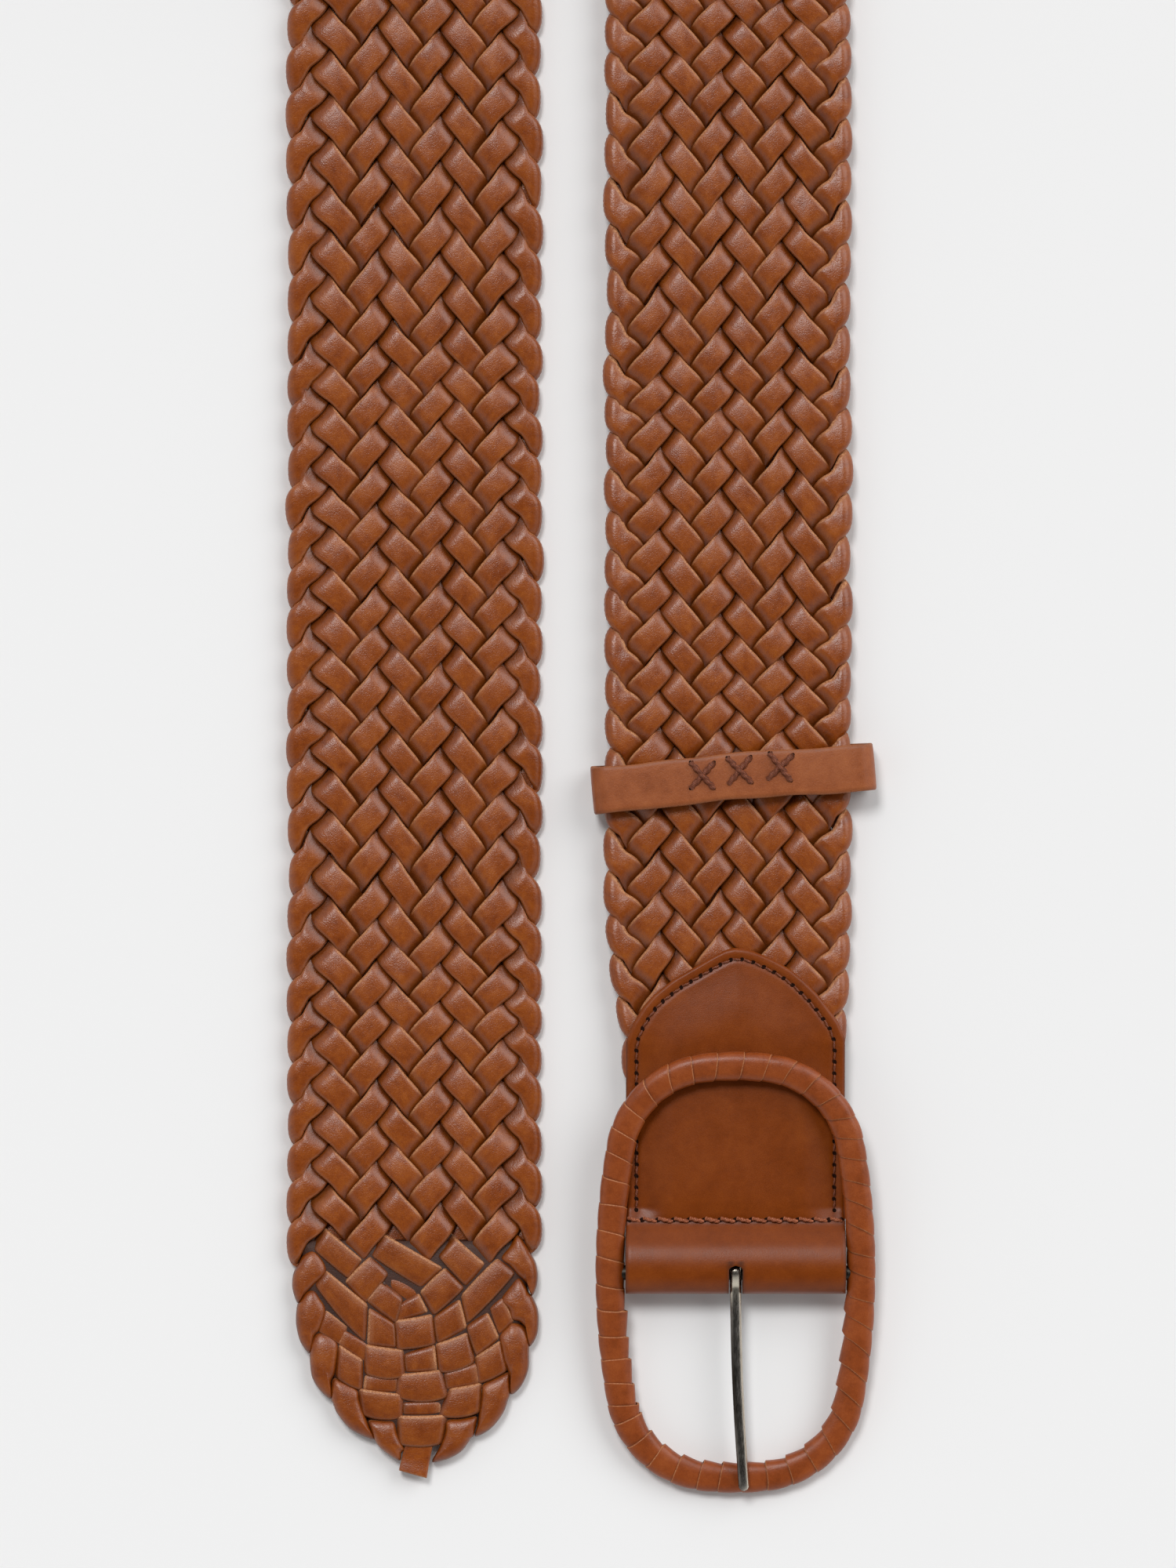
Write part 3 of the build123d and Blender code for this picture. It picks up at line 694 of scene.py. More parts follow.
# name, which side comes first (L: a long side, E: a tucked end), four corners, level, bow of the two long sides
TILES = [
    ("A", "L", (265, 35), (470, 210), (395, 320), (195, 150), 0.0, 3, 3),
    ("C", "L", (615, 70), (940, 255), (820, 372), (528, 185), 0.05, 0, 4),
    ("I", "L", (1020, 85), (1192, 235), (1080, 358), (928, 190), 0.0, 3, 3),
    ("Lg", "L", (268, 280), (497, 470), (492, 692), (200, 360), 0.05, 0, 22),
    ("D", "E", (520, 195), (622, 290), (490, 462), (375, 340), 0.0, 4, 4),
    ("E", "L", (640, 300), (822, 392), (745, 440), (655, 372), -0.75, 0, 0),
    ("F", "E", (590, 340), (705, 430), (668, 585), (498, 452), 0.0, 4, 4),
    ("G", "L", (790, 422), (838, 515), (690, 562), (700, 478), -0.25, 4, 0),
    ("Hh", "E", (960, 262), (1067, 372), (892, 532), (818, 400), 0.0, 5, 5),
    ("K", "E", (1265, 205), (1365, 290), (1090, 582), (1058, 420), 0.05, 6, 8),
    ("M", "L", (262, 518), (372, 610), (342, 692), (235, 622), -0.45, 2, 2),
    ("N", "E", (375, 628), (492, 702), (476, 802), (352, 710), -0.45, 2, 2),
    ("O", "E", (515, 485), (655, 582), (666, 724), (506, 712), 0.0, 0, 4),
    ("P", "L", (665, 568), (882, 532), (902, 700), (678, 732), 0.0, 8, 8),
    ("Q", "E", (900, 540), (1040, 440), (1082, 612), (920, 702), 0.0, 6, 2),
    ("R", "E", (1092, 600), (1205, 520), (1272, 672), (1148, 772), 0.0, 5, 3),
    ("S", "E", (1240, 500), (1292, 450), (1342, 562), (1280, 632), -0.35, 2, 2),
    ("T", "L", (335, 708), (475, 803), (470, 968), (325, 892), 0.0, 4, 14),
    ("Uu", "L", (490, 708), (712, 740), (722, 888), (492, 872), 0.12, 8, 26),
    ("V", "E", (725, 758), (892, 708), (906, 862), (735, 872), 0.0, 2, 2),
    ("W", "L", (905, 708), (1092, 638), (1132, 802), (925, 862), 0.1, 8, 26),
    ("X", "L", (1140, 782), (1282, 688), (1322, 852), (1150, 932), 0.0, 4, 12),
    ("Y", "E", (510, 888), (662, 900), (657, 985), (500, 975), -0.4, 0, 0),
    ("Z", "L", (690, 882), (932, 858), (975, 1010), (672, 1008), 0.12, 8, 34),
    ("AA", "E", (978, 870), (1132, 820), (1146, 935), (985, 962), -0.3, 0, 0),
    ("AB", "L", (458, 968), (705, 1000), (712, 1130), (470, 1112), 0.05, 8, 26),
    ("AC", "L", (990, 968), (1167, 935), (1160, 1098), (925, 1122), 0.05, 8, 22),
    ("AD", "E", (735, 1045), (917, 1035), (917, 1118), (738, 1118), -0.5, 0, 0),
    ("AE", "L", (690, 1128), (962, 1122), (935, 1285), (690, 1288), 0.1, 8, 18),
]


def quad_piece(corners, first, bow1, bow2, nv, nw, ext0, ext1, grow=0.0):
    """Bilinear patch over a lace float: v along the lace, w across it. Returns (nv, nw, 2) in mm, and v, w in mm."""
    c = [np.array(tp(*p)) for p in corners]
    mid_ = sum(c) / 4
    c = [p + (p - mid_) / np.linalg.norm(p - mid_) * grow for p in c]
    if first == "L":
        a0, a1, b1, b0 = c            # long side a0->a1, other long side b0->b1
    else:
        e0, e1, f1, f0 = c            # end e0->e1, other end f0->f1: long sides e0->f0 and e1->f1
        a0, a1, b0, b1 = e0, f0, e1, f1
    la, lb = np.linalg.norm(a1 - a0), np.linalg.norm(b1 - b0)
    length = (la + lb) / 2
    width = (np.linalg.norm(b0 - a0) + np.linalg.norm(b1 - a1)) / 2
    v = np.linspace(-ext0 / length, 1 + ext1 / length, nv)
    w = np.array([0.0, 0.05, 0.10, 0.26, 0.5, 0.74, 0.90, 0.95, 1.0]) if nw == 9 else np.linspace(0, 1, nw)
    sgn = np.sign(np.cross(a1 - a0, b0 - a0))
    k1, k2 = bow1 / 4.612 / 5.37, bow2 / 4.612 / 5.37
    pa = a0 + v[:, None] * (a1 - a0)
    pb = b0 + v[:, None] * (b1 - b0)
    arch = (4 * v * (1 - v))[:, None]
    down = np.array([0.0, -1.0])
    if first == "L":
        pa = pa + down * k1 * arch * -0.0 + down * k1 * arch * 0.5
        pb = pb + down * k2 * arch
    else:
        da = (a0 - b0) / max(np.linalg.norm(a0 - b0), 1e-6)
        pa = pa + da * k1 * arch
        pb = pb - da * k2 * arch
    G = pa[:, None, :] * (1 - w)[None, :, None] + pb[:, None, :] * w[None, :, None]
    return G, v * length, w * width, length, width, v, w, sgn


def tile(build, spec, flip, seed):
    name, first, c0, c1, c2, c3, level, bow1, bow2 = spec
    ext = 1.9
    G, vm, wm, length, width, v, w, sgn = quad_piece((c0, c1, c2, c3), first, bow1, bow2, 26, 9, ext, ext, 0.40 if level > -0.2 else 1.2)
    r = np.random.default_rng(seed)
    lvl = level + r.normal(0, 0.06)
    tilt = r.normal(0, 0.05)
    x = np.minimum(vm + 0.0, length - vm)                 # distance inside the nearer visible end
    dip = 1 - sstep((x + 1.15) / 2.2)                      # 1 when tucked under
    mid = np.clip(1 - ((v - 0.5) / 0.5) ** 2, 0, 1)
    ww = np.abs(2 * w - 1)
    crown = 0.34 * ww ** 2.2 + 0.34 * np.clip((ww - 0.9) / 0.1, 0, 1) ** 2
    top = 2.16 + lvl + 0.24 * mid[:, None] - crown[None, :] - 1.75 * dip[:, None] + tilt * (2 * w - 1)[None, :] * 2
    bot = np.minimum(top - 0.9, 0.15)
    sz = -1.0 if flip else 1.0
    zc = 2.3
    Pt = np.concatenate([G, (zc + sz * top)[..., None]], -1)
    Pb = np.concatenate([G, (zc + sz * bot)[..., None]], -1)
    ring = np.concatenate([Pt, Pb[:, ::-1]], 1)
    m = ring.shape[1]
    pinch = dip[:, None] * np.ones(m)[None, :]
    edge = np.zeros(m)
    edge[[0, 8, 9, 17]] = 1.0
    edge[[1, 7]] = 1.0
    edge[[2, 6]] = 0.25
    # which side faces up the strap, towards the light: painted light keeps the tan edge on that side, and the low
    # side's edges are painted dark as shade
    up_first = G[13, 0, 1] > G[13, -1, 1]
    fac = np.ones(m)
    low = (range(5, 13) if up_first else list(range(0, 4)) + list(range(13, m)))
    fac[list(low)] = 0.10
    E = (edge * fac)[None, :] * (1 - 0.5 * pinch)
    # painted shade where the tile tucks under and along its low side, plus an even 0.13 darker tone
    D = np.clip(pinch * 1.0, 0, 1) + 0.30 * (edge * (1 - fac))[None, :] + 0.13
    outward = (sgn > 0) != flip
    n0 = build.n
    build.grid(ring, close_v=True, flip=not outward, edge=E, deep=np.clip(D, 0, 1))
    q = []
    for i, fl in ((0, outward), (len(v) - 1, not outward)):
        b = i * m
        for j in range(8):
            f = [b + j, b + j + 1, b + m - 2 - j, b + m - 1 - j]
            q.append(f if fl else f[::-1])
    build.add(np.zeros((0, 3)), np.array(q) + n0 - build.n, 0, edge=np.zeros(0), deep=np.zeros(0))
    lcv = np.stack([np.repeat(vm[:, None], m, 1) + seed * 37.0,
                    np.repeat(np.r_[wm, wm[::-1]][None, :], len(v), 0), ring[..., 2]], -1)
    return lcv.reshape(-1, 3)


LOBES = [
    ("L1", [(100, 228), (130, 178), (190, 150), (242, 200), (268, 262), (252, 305), (205, 345), (172, 378), (130, 420), (97, 468), (72, 420), (60, 360), (68, 290)], 0.05),
    ("L2", [(97, 462), (140, 398), (190, 382), (228, 430), (262, 490), (250, 560), (222, 628), (190, 665), (166, 762), (112, 700), (88, 620), (82, 560), (86, 500)], 0.05),
    ("L3", [(163, 755), (168, 690), (205, 638), (252, 632), (302, 658), (334, 702), (328, 800), (314, 882), (290, 930), (292, 1028), (230, 985), (183, 915), (168, 850)], 0.05),
    ("L4", [(288, 1020), (288, 950), (308, 902), (372, 922), (446, 966), (458, 1030), (492, 1130), (520, 1200), (548, 1268), (460, 1240), (390, 1195), (325, 1115), (302, 1060)], 0.05),
    ("L5", [(542, 1262), (518, 1200), (512, 1152), (600, 1152), (660, 1158), (682, 1230), (722, 1318), (704, 1345), (692, 1392), (620, 1350), (570, 1308)], 0.0),
    ("R1", [(1283, 195), (1340, 120), (1380, 62), (1428, 110), (1462, 172), (1492, 230), (1504, 300), (1497, 370), (1468, 422), (1440, 352), (1385, 302), (1335, 245)], 0.05),
    ("R2", [(1283, 440), (1330, 368), (1385, 308), (1428, 350), (1450, 400), (1474, 430), (1503, 500), (1509, 580), (1497, 660), (1455, 722), (1448, 640), (1400, 578), (1345, 562), (1330, 500)], 0.05),
    ("R3", [(1276, 650), (1318, 600), (1355, 572), (1420, 598), (1452, 650), (1453, 750), (1448, 860), (1402, 960), (1343, 1002), (1338, 900), (1298, 800), (1282, 710)], 0.05),
    ("R4", [(1180, 938), (1250, 900), (1328, 868), (1342, 900), (1342, 990), (1328, 1040), (1302, 1110), (1242, 1190), (1180, 1235), (1133, 1245), (1148, 1180), (1158, 1100), (1172, 1000)], 0.05),
    ("R5", [(968, 1150), (1050, 1140), (1142, 1128), (1144, 1180), (1128, 1243), (1112, 1260), (1062, 1330), (1002, 1370), (940, 1393), (882, 1397), (925, 1310), (958, 1220)], 0.0),
]
RAW_LOBES = {"L4", "L5", "R4", "R5", "R3"}


def lobe(build, name, poly, lift, seed):
    """A lace folded over the edge: a closed pillow, full thickness of the braid."""
    pts = np.array([tp(*p) for p in poly])
    ring = catmull(pts, 56, closed=True)
    cen = pts.mean(0)
    axis = np.array([LEG_X * -1, 34.0])
    inner = ((ring - axis) ** 2).sum(1)
    inner = 1 - (inner - inner.min()) / (inner.max() - inner.min() + 1e-9)       # 1 on the side facing the braid
    rr = np.array([0.0, 0.22, 0.42, 0.6, 0.74, 0.85, 0.93, 0.98, 1.0])
    rows, E, D = [], [], []
    for sz in (1.0, -1.0):
        rs = rr if sz > 0 else rr[::-1][1:]
        for r_ in rs:
            xy = cen + (ring - cen) * r_
            prof = (1 - r_ ** 3.2) ** 0.5
            steep = (1 - r_ ** 7.0) ** 0.5
            f = prof * (1 - inner) + (0.45 * prof + 0.55 * steep) * inner
            z = 2.3 + sz * (0.15 + (2.28 + lift) * f) if r_ < 1 else np.full(len(ring), 2.3) + 0 * f
            rows.append(np.concatenate([xy, (z * np.ones(len(ring)))[:, None]], -1))
            E.append(np.clip((r_ - 0.93) / 0.05, 0, 1) * np.clip(inner * 1.6 - 0.75, 0, 1) * (1.0 if name in RAW_LOBES else 0.0))
            # painted shade towards the rim, where the fold rolls down into the crease
            D.append((0.10 + np.clip((r_ - 0.88) / 0.12, 0, 1) * 0.55) * (1 - E[-1]))
    P = np.array(rows)
    build.grid(P, close_v=True, flip=True, edge=np.array(E), deep=np.array(D))
    v = np.array(rows).reshape(-1, 3).copy()
    ang = seed * 0.7
    v[:, 0] += seed * 31.0
    return v


tips = []
for side, flip in (("face", False), ("back", True)):
    b = Build()
    lcs = []
    for i, spec in enumerate(TILES):
        lcs.append(tile(b, spec, flip, 100 + i + (50 if flip else 0)))
    o = b.done("tip_weave_" + side, [BRAID], lc=np.concatenate(lcs))
    tips.append(o)
b = Build()
lcs = [lobe(b, nm, poly, lf, 7 + i) for i, (nm, poly, lf) in enumerate(LOBES)]
o = b.done("tip_edge_folds", [BRAID], lc=np.concatenate(lcs))
tips.append(o)
# the last lace's trimmed end
b = Build()
tail = [("AF", "E", (735, 1262), (898, 1258), (852, 1492), (688, 1446), -0.62, 2, -3)]
G, vm, wm, length, width, v, w, sgn = quad_piece(tail[0][2:6], "E", 2, -3, 22, 9, 0.0, 0.0)
ww = np.abs(2 * w - 1)
top = 1.72 + 0.10 * np.sin(vm * 0.9)[:, None] - 0.16 * (ww ** 2)[None, :] - 0.22 * np.clip((ww - 0.9) / 0.1, 0, 1)[None, :] ** 2
bot = top - 1.55
Pt = np.concatenate([G, (2.0 + top)[..., None]], -1)
Pb = np.concatenate([G, (2.0 + bot)[..., None]], -1)
ring = np.concatenate([Pt, Pb[:, ::-1]], 1)
m = ring.shape[1]
E = np.zeros((len(v), m)); E[:, [0, 8, 9, 17]] = 0.35; E[-1, :] = 0.8
b.grid(ring, close_v=True, flip=not (sgn > 0), edge=E, deep=np.zeros((len(v), m)))
q = []
for i, fl in ((0, sgn > 0), (len(v) - 1, not (sgn > 0))):
    for j in range(8):
        f = [i * m + j, i * m + j + 1, i * m + m - 2 - j, i * m + m - 1 - j]
        q.append(f if fl else f[::-1])
b.add(np.zeros((0, 3)), np.array(q) - b.n, 0, edge=np.zeros(0), deep=np.zeros(0))
o = b.done("tip_tail", [BRAID])
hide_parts("tip_lace_tail")
tips.append(o)
# leather filler inside the woven tip, seen only in the deepest gaps; its near-black brown is painted shade for those
# gaps
outl = np.array([(-64.4, 57.0), (-63.8, 42.0), (-61.8, 34.0), (-58.6, 27.0), (-54.6, 20.6), (-50.0, 15.6), (-44.6, 11.0), (-40.0, 8.4),
                 (-34.0, 8.0), (-29.6, 11.0), (-24.4, 15.6), (-20.0, 20.6), (-15.6, 27.0), (-12.4, 34.0), (-10.4, 42.0), (-10.0, 57.0)])
outl = catmull(outl, 60)
outl = np.concatenate([outl, np.stack([np.linspace(-10.0, -64.4, 20)[1:-1], np.full(18, 57.0)], -1)])
cen = np.array([-LEG_X, 38.0])
rows = []
for r_, z in ((0.0, 3.75), (0.5, 3.75), (0.88, 3.6), (0.97, 3.1), (0.99, 2.3), (0.97, 1.5), (0.88, 1.0), (0.5, 0.85), (0.0, 0.85)):
    xy = cen + (outl - cen) * r_
    rows.append(np.concatenate([xy, np.full((len(outl), 1), z)], -1))
b = Build()
b.grid(np.array(rows), close_v=True)
o = b.done("tip_filler", [CORE_SHADE])
tips.append(o)
for o in tips:
    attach(o, "tip_leg")
    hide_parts("strap_tip_leg")


# ================================================================ chape
TCX = 38.9
TX0, TX1 = 13.0, 64.8
OUT_L = np.array([(13.0, 60.0), (13.0, 103.8), (14.6, 108.2), (17.0, 112.0), (19.5, 114.9), (24.0, 118.5), (29.0, 121.4), (34.0, 124.3), (36.6, 125.6), (38.7, 126.1)])
OUT_R = np.array([(64.8, 60.0), (64.8, 104.7), (63.2, 108.6), (60.8, 111.9), (58.2, 115.2), (55.2, 118.2), (51.8, 121.0), (47.8, 123.3), (43.4, 125.2), (40.9, 125.9), (38.7, 126.1)])
_out = np.concatenate([OUT_L, OUT_R[::-1][1:]])


def edge_dist(x, y):
    """Distance from the chape's outline (sides and point)."""
    P = np.stack([x, y], -1)
    best = np.full(x.shape, 1e9)
    for a, b in zip(_out[:-1], _out[1:]):
        ab = b - a
        t = np.clip(((P - a) @ ab) / (ab @ ab), 0, 1)
        best = np.minimum(best, np.linalg.norm(P - (a + t[..., None] * ab), axis=-1))
    return best


PROF = np.array([(126.1, 8.25), (124.0, 8.35), (112.0, 8.4), (104.0, 8.35), (98.0, 8.3), (85.0, 8.35), (72.0, 8.2), (66.5, 8.0), (63.4, 7.65),
                 (61.8, 7.45), (60.6, 7.75), (58.4, 9.2), (55.5, 10.9), (52.4, 11.75), (49.4, 11.75), (46.8, 11.0), (44.9, 9.3), (44.2, 6.9),
                 (44.7, 4.5), (46.4, 2.6), (49.2, 1.7), (54.0, 1.0), (60.0, 0.45), (66.0, 0.15), (90.0, 0.1), (126.1, 0.1)])
prof = resample(catmull(PROF, 900), step=0.42)
tang = np.gradient(prof, axis=0)
tang /= np.linalg.norm(tang, axis=1, keepdims=True)
pn = np.stack([tang[:, 1], -tang[:, 0]], -1)            # outward normal of the profile in (y, z)
top_n = int(np.argmin(np.abs(prof[:, 0] - 44.2)))
yy = prof[:, 0]
r1 = int(np.argmin(np.abs(np.where(np.arange(len(yy)) < top_n, yy, 1e9) - 51.1)))
r2 = top_n + int(np.argmin(np.abs(yy[top_n:] - 51.1)))

wr = np.random.default_rng(5)
WAVE = [(wr.uniform(0.05, 0.16), wr.uniform(0.05, 0.16), wr.uniform(0, 6.28), wr.uniform(0.03, 0.09)) for _ in range(7)]


def ripple(x, y):
    return sum(a * np.sin(kx * x + p) * np.cos(ky * y - p) for kx, ky, p, a in WAVE)


HOLES = []


def top_shape(x, y, z):
    """Raises and lowers the front of the chape: padded panel, pressed rims, seam groove."""
    dx = np.minimum(x - TX0, TX1 - x)
    d = np.where(y > 66, edge_dist(x, np.maximum(y, 66)), dx)
    flap = sstep((y - 94.0) / 14.0)
    drop_panel = 1.55 * (1 - sstep((dx - 2.4) / 9.0)) + 0.28 * np.exp(-((dx - 2.5) / 0.6) ** 2) - 0.10 * sstep((dx - 8) / 12)
    drop_flap = 0.30 * np.exp(-((d - 2.5) / 0.6) ** 2) - 0.95 * sstep((d - 2.2) / 14.0) + 0.35
    rnd = 0.55 * np.clip(1 - d / 0.7, 0, 1) ** 2
    panel = np.clip((y - 61.0) / 4.0, 0, 1)
    z2 = z - (drop_panel * (1 - flap) * sstep(panel) + drop_flap * flap) - rnd * np.clip(panel * 3, 0, 1)
    return z2 + 0.35 * ripple(x, y) * sstep((d - 3) / 5) * sstep((y - 62) / 6)


def chape_z(x, y):
    """Height of the chape's front at a point above the cross seam."""
    x, y = np.atleast_1d(np.asarray(x, float)), np.atleast_1d(np.asarray(y, float))
    zb = np.interp(y, yy[:top_n][::-1], prof[:top_n, 1][::-1])
    return top_shape(x, y, zb)


cols = np.r_[0.0, 0.15, 0.45, np.linspace(0.9, 50.9, 116), 51.35, 51.65, 51.8] / 51.8
ls = (TCX - 0.2 - TX0) / 51.8
rs = (TCX + 0.2 - TX0) / 51.8
cols = np.sort(np.r_[cols[(cols < ls - 0.003) | (cols > rs + 0.003)], ls, rs])
jl = int(np.argmin(np.abs(cols - ls)))
jr = int(np.argmin(np.abs(cols - rs)))


def chape_rows(i0, i1, c0, c1):
    """Ring section rows i0..i1 of the chape over columns c0..c1."""
    rows, deep, edge = [], [], []
    for i in range(i0, i1 + 1):
        y, z = prof[i]
        n2 = pn[i]
        cw = cols[c0:c1 + 1]
        if y > 103.0:
            xl = np.interp(y, OUT_L[:, 1], OUT_L[:, 0])
            xr = np.interp(y, OUT_R[:, 1], OUT_R[:, 0])
            x = xl + (xr - xl) * cw
        else:
            wide = 0.12 * (1 - float(sstep(np.array((y - 55.0) / 6.0))))      # the fold fills the buckle from rail to rail
            x = TX0 - wide + (51.8 + 2 * wide) * cw
        if r1 <= i <= r2:
            arc = min(i - r1, r2 - i) * 0.42
            g = 0.124 + 0.876 * float(np.sqrt(np.clip(arc / 0.9, 0, 1)))
            lim = 1.62 * g
            if c0 == 0 and c1 == jl:
                x = TX0 + (x - TX0) * (TCX - lim - TX0) / (TCX - 0.2 - TX0)
            elif c0 == jr:
                x = TX1 - (TX1 - x) * (TX1 - TCX - lim) / (TX1 - TCX - 0.2)
        yv = np.full(len(x), y)
        zo = np.full(len(x), z)
        front = i <= top_n
        if front:
            zo = top_shape(x, yv, zo)
            zo = np.where(yv < 61, z - 0.25 * np.clip(1 - np.minimum(x - TX0, TX1 - x) / 0.9, 0, 1) ** 2 + 0.10 * ripple(x * 1.6, yv * 2), zo)
        dx = np.minimum(x - TX0, TX1 - x)
        rim = (1 - sstep((dx - 1.2) / 3.0)) * float(sstep(np.array((y - 62.0) / 2.5))) * (1 - float(sstep(np.array((y - 100.5) / 3.0))))
        back = not front
        if back:
            zo = zo + 0.45 * (1 - sstep((dx - 2.0) / 3.5)) * float(sstep(np.array((y - 62.0) / 3.0))) * (1 - float(sstep(np.array((y - 100.5) / 3.0))))
        yi = yv - n2[0] * 1.6
        zi = zo - n2[1] * 1.6
        yi = np.where(np.abs(n2[1]) > 0.995, yv, yi)
        zi = zi * (1 - rim) + 3.2 * rim
        outer = np.stack([x, yv, zo], -1)
        inner = np.stack([np.clip(x, x[0] + 0.02, x[-1] - 0.02), yi, zi], -1)
        rows.append(np.concatenate([outer, inner[::-1]]))
        e = np.zeros(len(x)); e[[0, -1]] = 0.35
        # painted shade in the seam grooves, beside the prong slot and on the rounded side edges; the inner faces get
        # more
        nearslot = np.exp(-((np.abs(x - TCX) - 1.2) / 0.9) ** 2) * (1.0 if (r1 - 2 <= i <= r2 + 2) else 0.0)
        gr = 0.55 * np.exp(-((edge_dist(x, np.maximum(yv, 66.0)) - 2.5) / 0.35) ** 2) if y > 62 and front else np.zeros(len(x))
        gr = gr + 0.8 * np.exp(-((y - 61.6) / 0.6) ** 2) * (1.0 if front else 0.0)
        de = np.clip(gr * 0.35 + 0.75 * nearslot * (dx > 3) + 0.55 * np.clip(1 - dx / 0.5, 0, 1), 0, 1)
        deep.append(np.r_[de, np.clip(de[::-1] + 0.5, 0, 1)])
        edge.append(np.r_[e, e[::-1]] * 0)
    return np.array(rows), np.array(deep), np.array(edge)


b = Build()
nc = len(cols)
for i0, i1, c0, c1 in ((0, r1, 0, nc - 1), (r1, r2, 0, jl), (r1, r2, jr, nc - 1), (r2, len(prof) - 1, 0, nc - 1)):
    P, D, E = chape_rows(i0, i1, c0, c1)
    b.grid(P, close_v=True, deep=D, edge=E, flip=True)
chape = b.done("chape_leather", [CHAPE])
import bmesh
bm = bmesh.new()
bm.from_mesh(chape.data)
bmesh.ops.remove_doubles(bm, verts=bm.verts, dist=2e-6)
bmesh.ops.recalc_face_normals(bm, faces=bm.faces)
bm.to_mesh(chape.data)
bm.free()
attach(chape, "buckle_leg")
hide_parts("chape_tab")

# seam round the chape: painted-shade discs at the holes, with a thin sunk thread between them
inset = 2.5
sm = []
for a, c in zip(_out[:-1], _out[1:]):
    pass
cl = np.array([38.85, 96.0])
seam_line = []
dense = resample(_out[(_out[:, 1] >= 60.0)], step=0.3)
nrm = np.gradient(dense, axis=0)
nrm = np.stack([nrm[:, 1], -nrm[:, 0]], -1) / np.linalg.norm(nrm, axis=1, keepdims=True)
seam_line = dense + nrm * inset
keep = edge_dist(seam_line[:, 0], np.maximum(seam_line[:, 1], 66.0)) > inset - 0.12
keep &= (seam_line[:, 0] > TX0 + inset - 0.1) & (seam_line[:, 0] < TX1 - inset + 0.1) & (seam_line[:, 1] > 63.6)
seam_line = resample(catmull(resample(seam_line[keep], step=3.0), 400), step=0.1)
ln = np.r_[0, np.cumsum(np.linalg.norm(np.diff(seam_line, axis=0), axis=1))]
count = int(round(ln[-1] / 2.72))
marks = np.linspace(0.4, ln[-1] - 0.4, count + 1)
at_ = lambda d: np.array([np.interp(d, ln, seam_line[:, 0]), np.interp(d, ln, seam_line[:, 1])])
bt, bh = Build(), Build()
sr = np.random.default_rng(21)


def hole_shade_disc(build, x, y, z, rx, ry, ang, rise=0.06, follow=False):
    """A small dark disc painting the shade inside one of the stitch holes: a shallow dished oval, lying on the chape
    where it follows its surface.
    """
    n = 12
    th = np.linspace(0, 2 * np.pi, n, endpoint=False)
    rows = []
    for r_, dz in ((1.0, rise - 0.05), (0.8, rise), (0.45, rise - 0.02), (0.0, rise - 0.05)):
        px = rx * r_ * np.cos(th); py = ry * r_ * np.sin(th)
        X_, Y_ = x + px * math.cos(ang) - py * math.sin(ang), y + px * math.sin(ang) + py * math.cos(ang)
        Z_ = (chape_z(X_, Y_) if follow else np.full(n, z)) + dz
        rows.append(np.stack([X_, Y_, Z_], -1))
    build.grid(np.array(rows), close_v=True, flip=False)


for i in range(count):
    d0, d1 = marks[i], marks[i + 1]
    p0, p1 = at_(d0), at_(d1)
    dirn = (p1 - p0) / np.linalg.norm(p1 - p0)
    side = np.array([-dirn[1], dirn[0]])
    sl = 0.10
    a = p0 + dirn * 0.52 + side * sl
    c = p1 - dirn * 0.52 - side * sl
    pts = []
    for f in np.linspace(0, 1, 9):
        q = a + (c - a) * f
        z = float(chape_z(q[0], q[1])[0]) + 0.16 + 0.20 * math.sin(math.pi * f) - 0.20 * (abs(2 * f - 1) ** 4)
        pts.append((q[0], q[1], z))
    tube(bt, pts, 0.235 + sr.normal(0, 0.015), 8, twist=3.0)
for dmk in marks:
    p = at_(dmk) + sr.normal(0, 0.05, 2)
    j = at_(min(dmk + 0.3, ln[-1]))
    ang = math.atan2(*(j - at_(max(dmk - 0.3, 0)))[::-1])
    hole_shade_disc(bh, p[0], p[1], 0.0, 0.60 + sr.normal(0, 0.04), 0.47, ang + 0.5, 0.16, True)
th1 = bt.done("chape_seam_thread", [THREAD_DK])
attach(th1, "buckle_leg"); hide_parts("chape_edge_seam")

# heavy cross seam above the fold
bt = Build()
n_cross = 14
for i in range(n_cross):
    x = TCX + (i - (n_cross - 1) / 2) * 3.68 + sr.normal(0, 0.05)
    pts = []
    for f in np.linspace(0, 1, 11):
        xx = x + (f - 0.5) * 2.95
        y = 61.75 - (f - 0.5) * 0.62 + sr.normal(0, 0.01)
        z = float(chape_z(xx, 62.6)[0]) + 0.28 + 0.34 * math.sin(math.pi * f) - 0.3 * (abs(2 * f - 1) ** 4)
        pts.append((xx, y, z))
    tube(bt, pts, 0.43 + sr.normal(0, 0.015), 10, twist=2.4)
for i in range(n_cross + 1):
    x = TCX + (i - n_cross / 2) * 3.68
    x = min(max(x, TX0 + 0.9), TX1 - 0.9)
    hole_shade_disc(bh, x, 61.75, 0.0, 0.66, 0.58, 0.4, 0.17, True)
th2 = bt.done("chape_cross_thread", [THREAD])
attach(th2, "buckle_leg"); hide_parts("chape_cross_seam")
ho = bh.done("chape_seam_hole_shades", [HOLE_SHADE])
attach(ho, "buckle_leg"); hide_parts("chape_edge_seam", "chape_cross_seam")


# ================================================================ keeper
KCX, KCY, KW, KH, KT, KL = 38.4, 166.4, 67.2, 10.4, 1.8, 11.0
hw, top, r_ = KW / 2 - KT / 2, KH - KT / 2, 3.0
zc0 = KT / 2 + 0.02
path = []


def corner_pts(cx, cz, a0, a1, n=10):
    return [(cx + r_ * math.cos(a), cz + r_ * math.sin(a)) for a in np.linspace(math.radians(a0), math.radians(a1), n)]


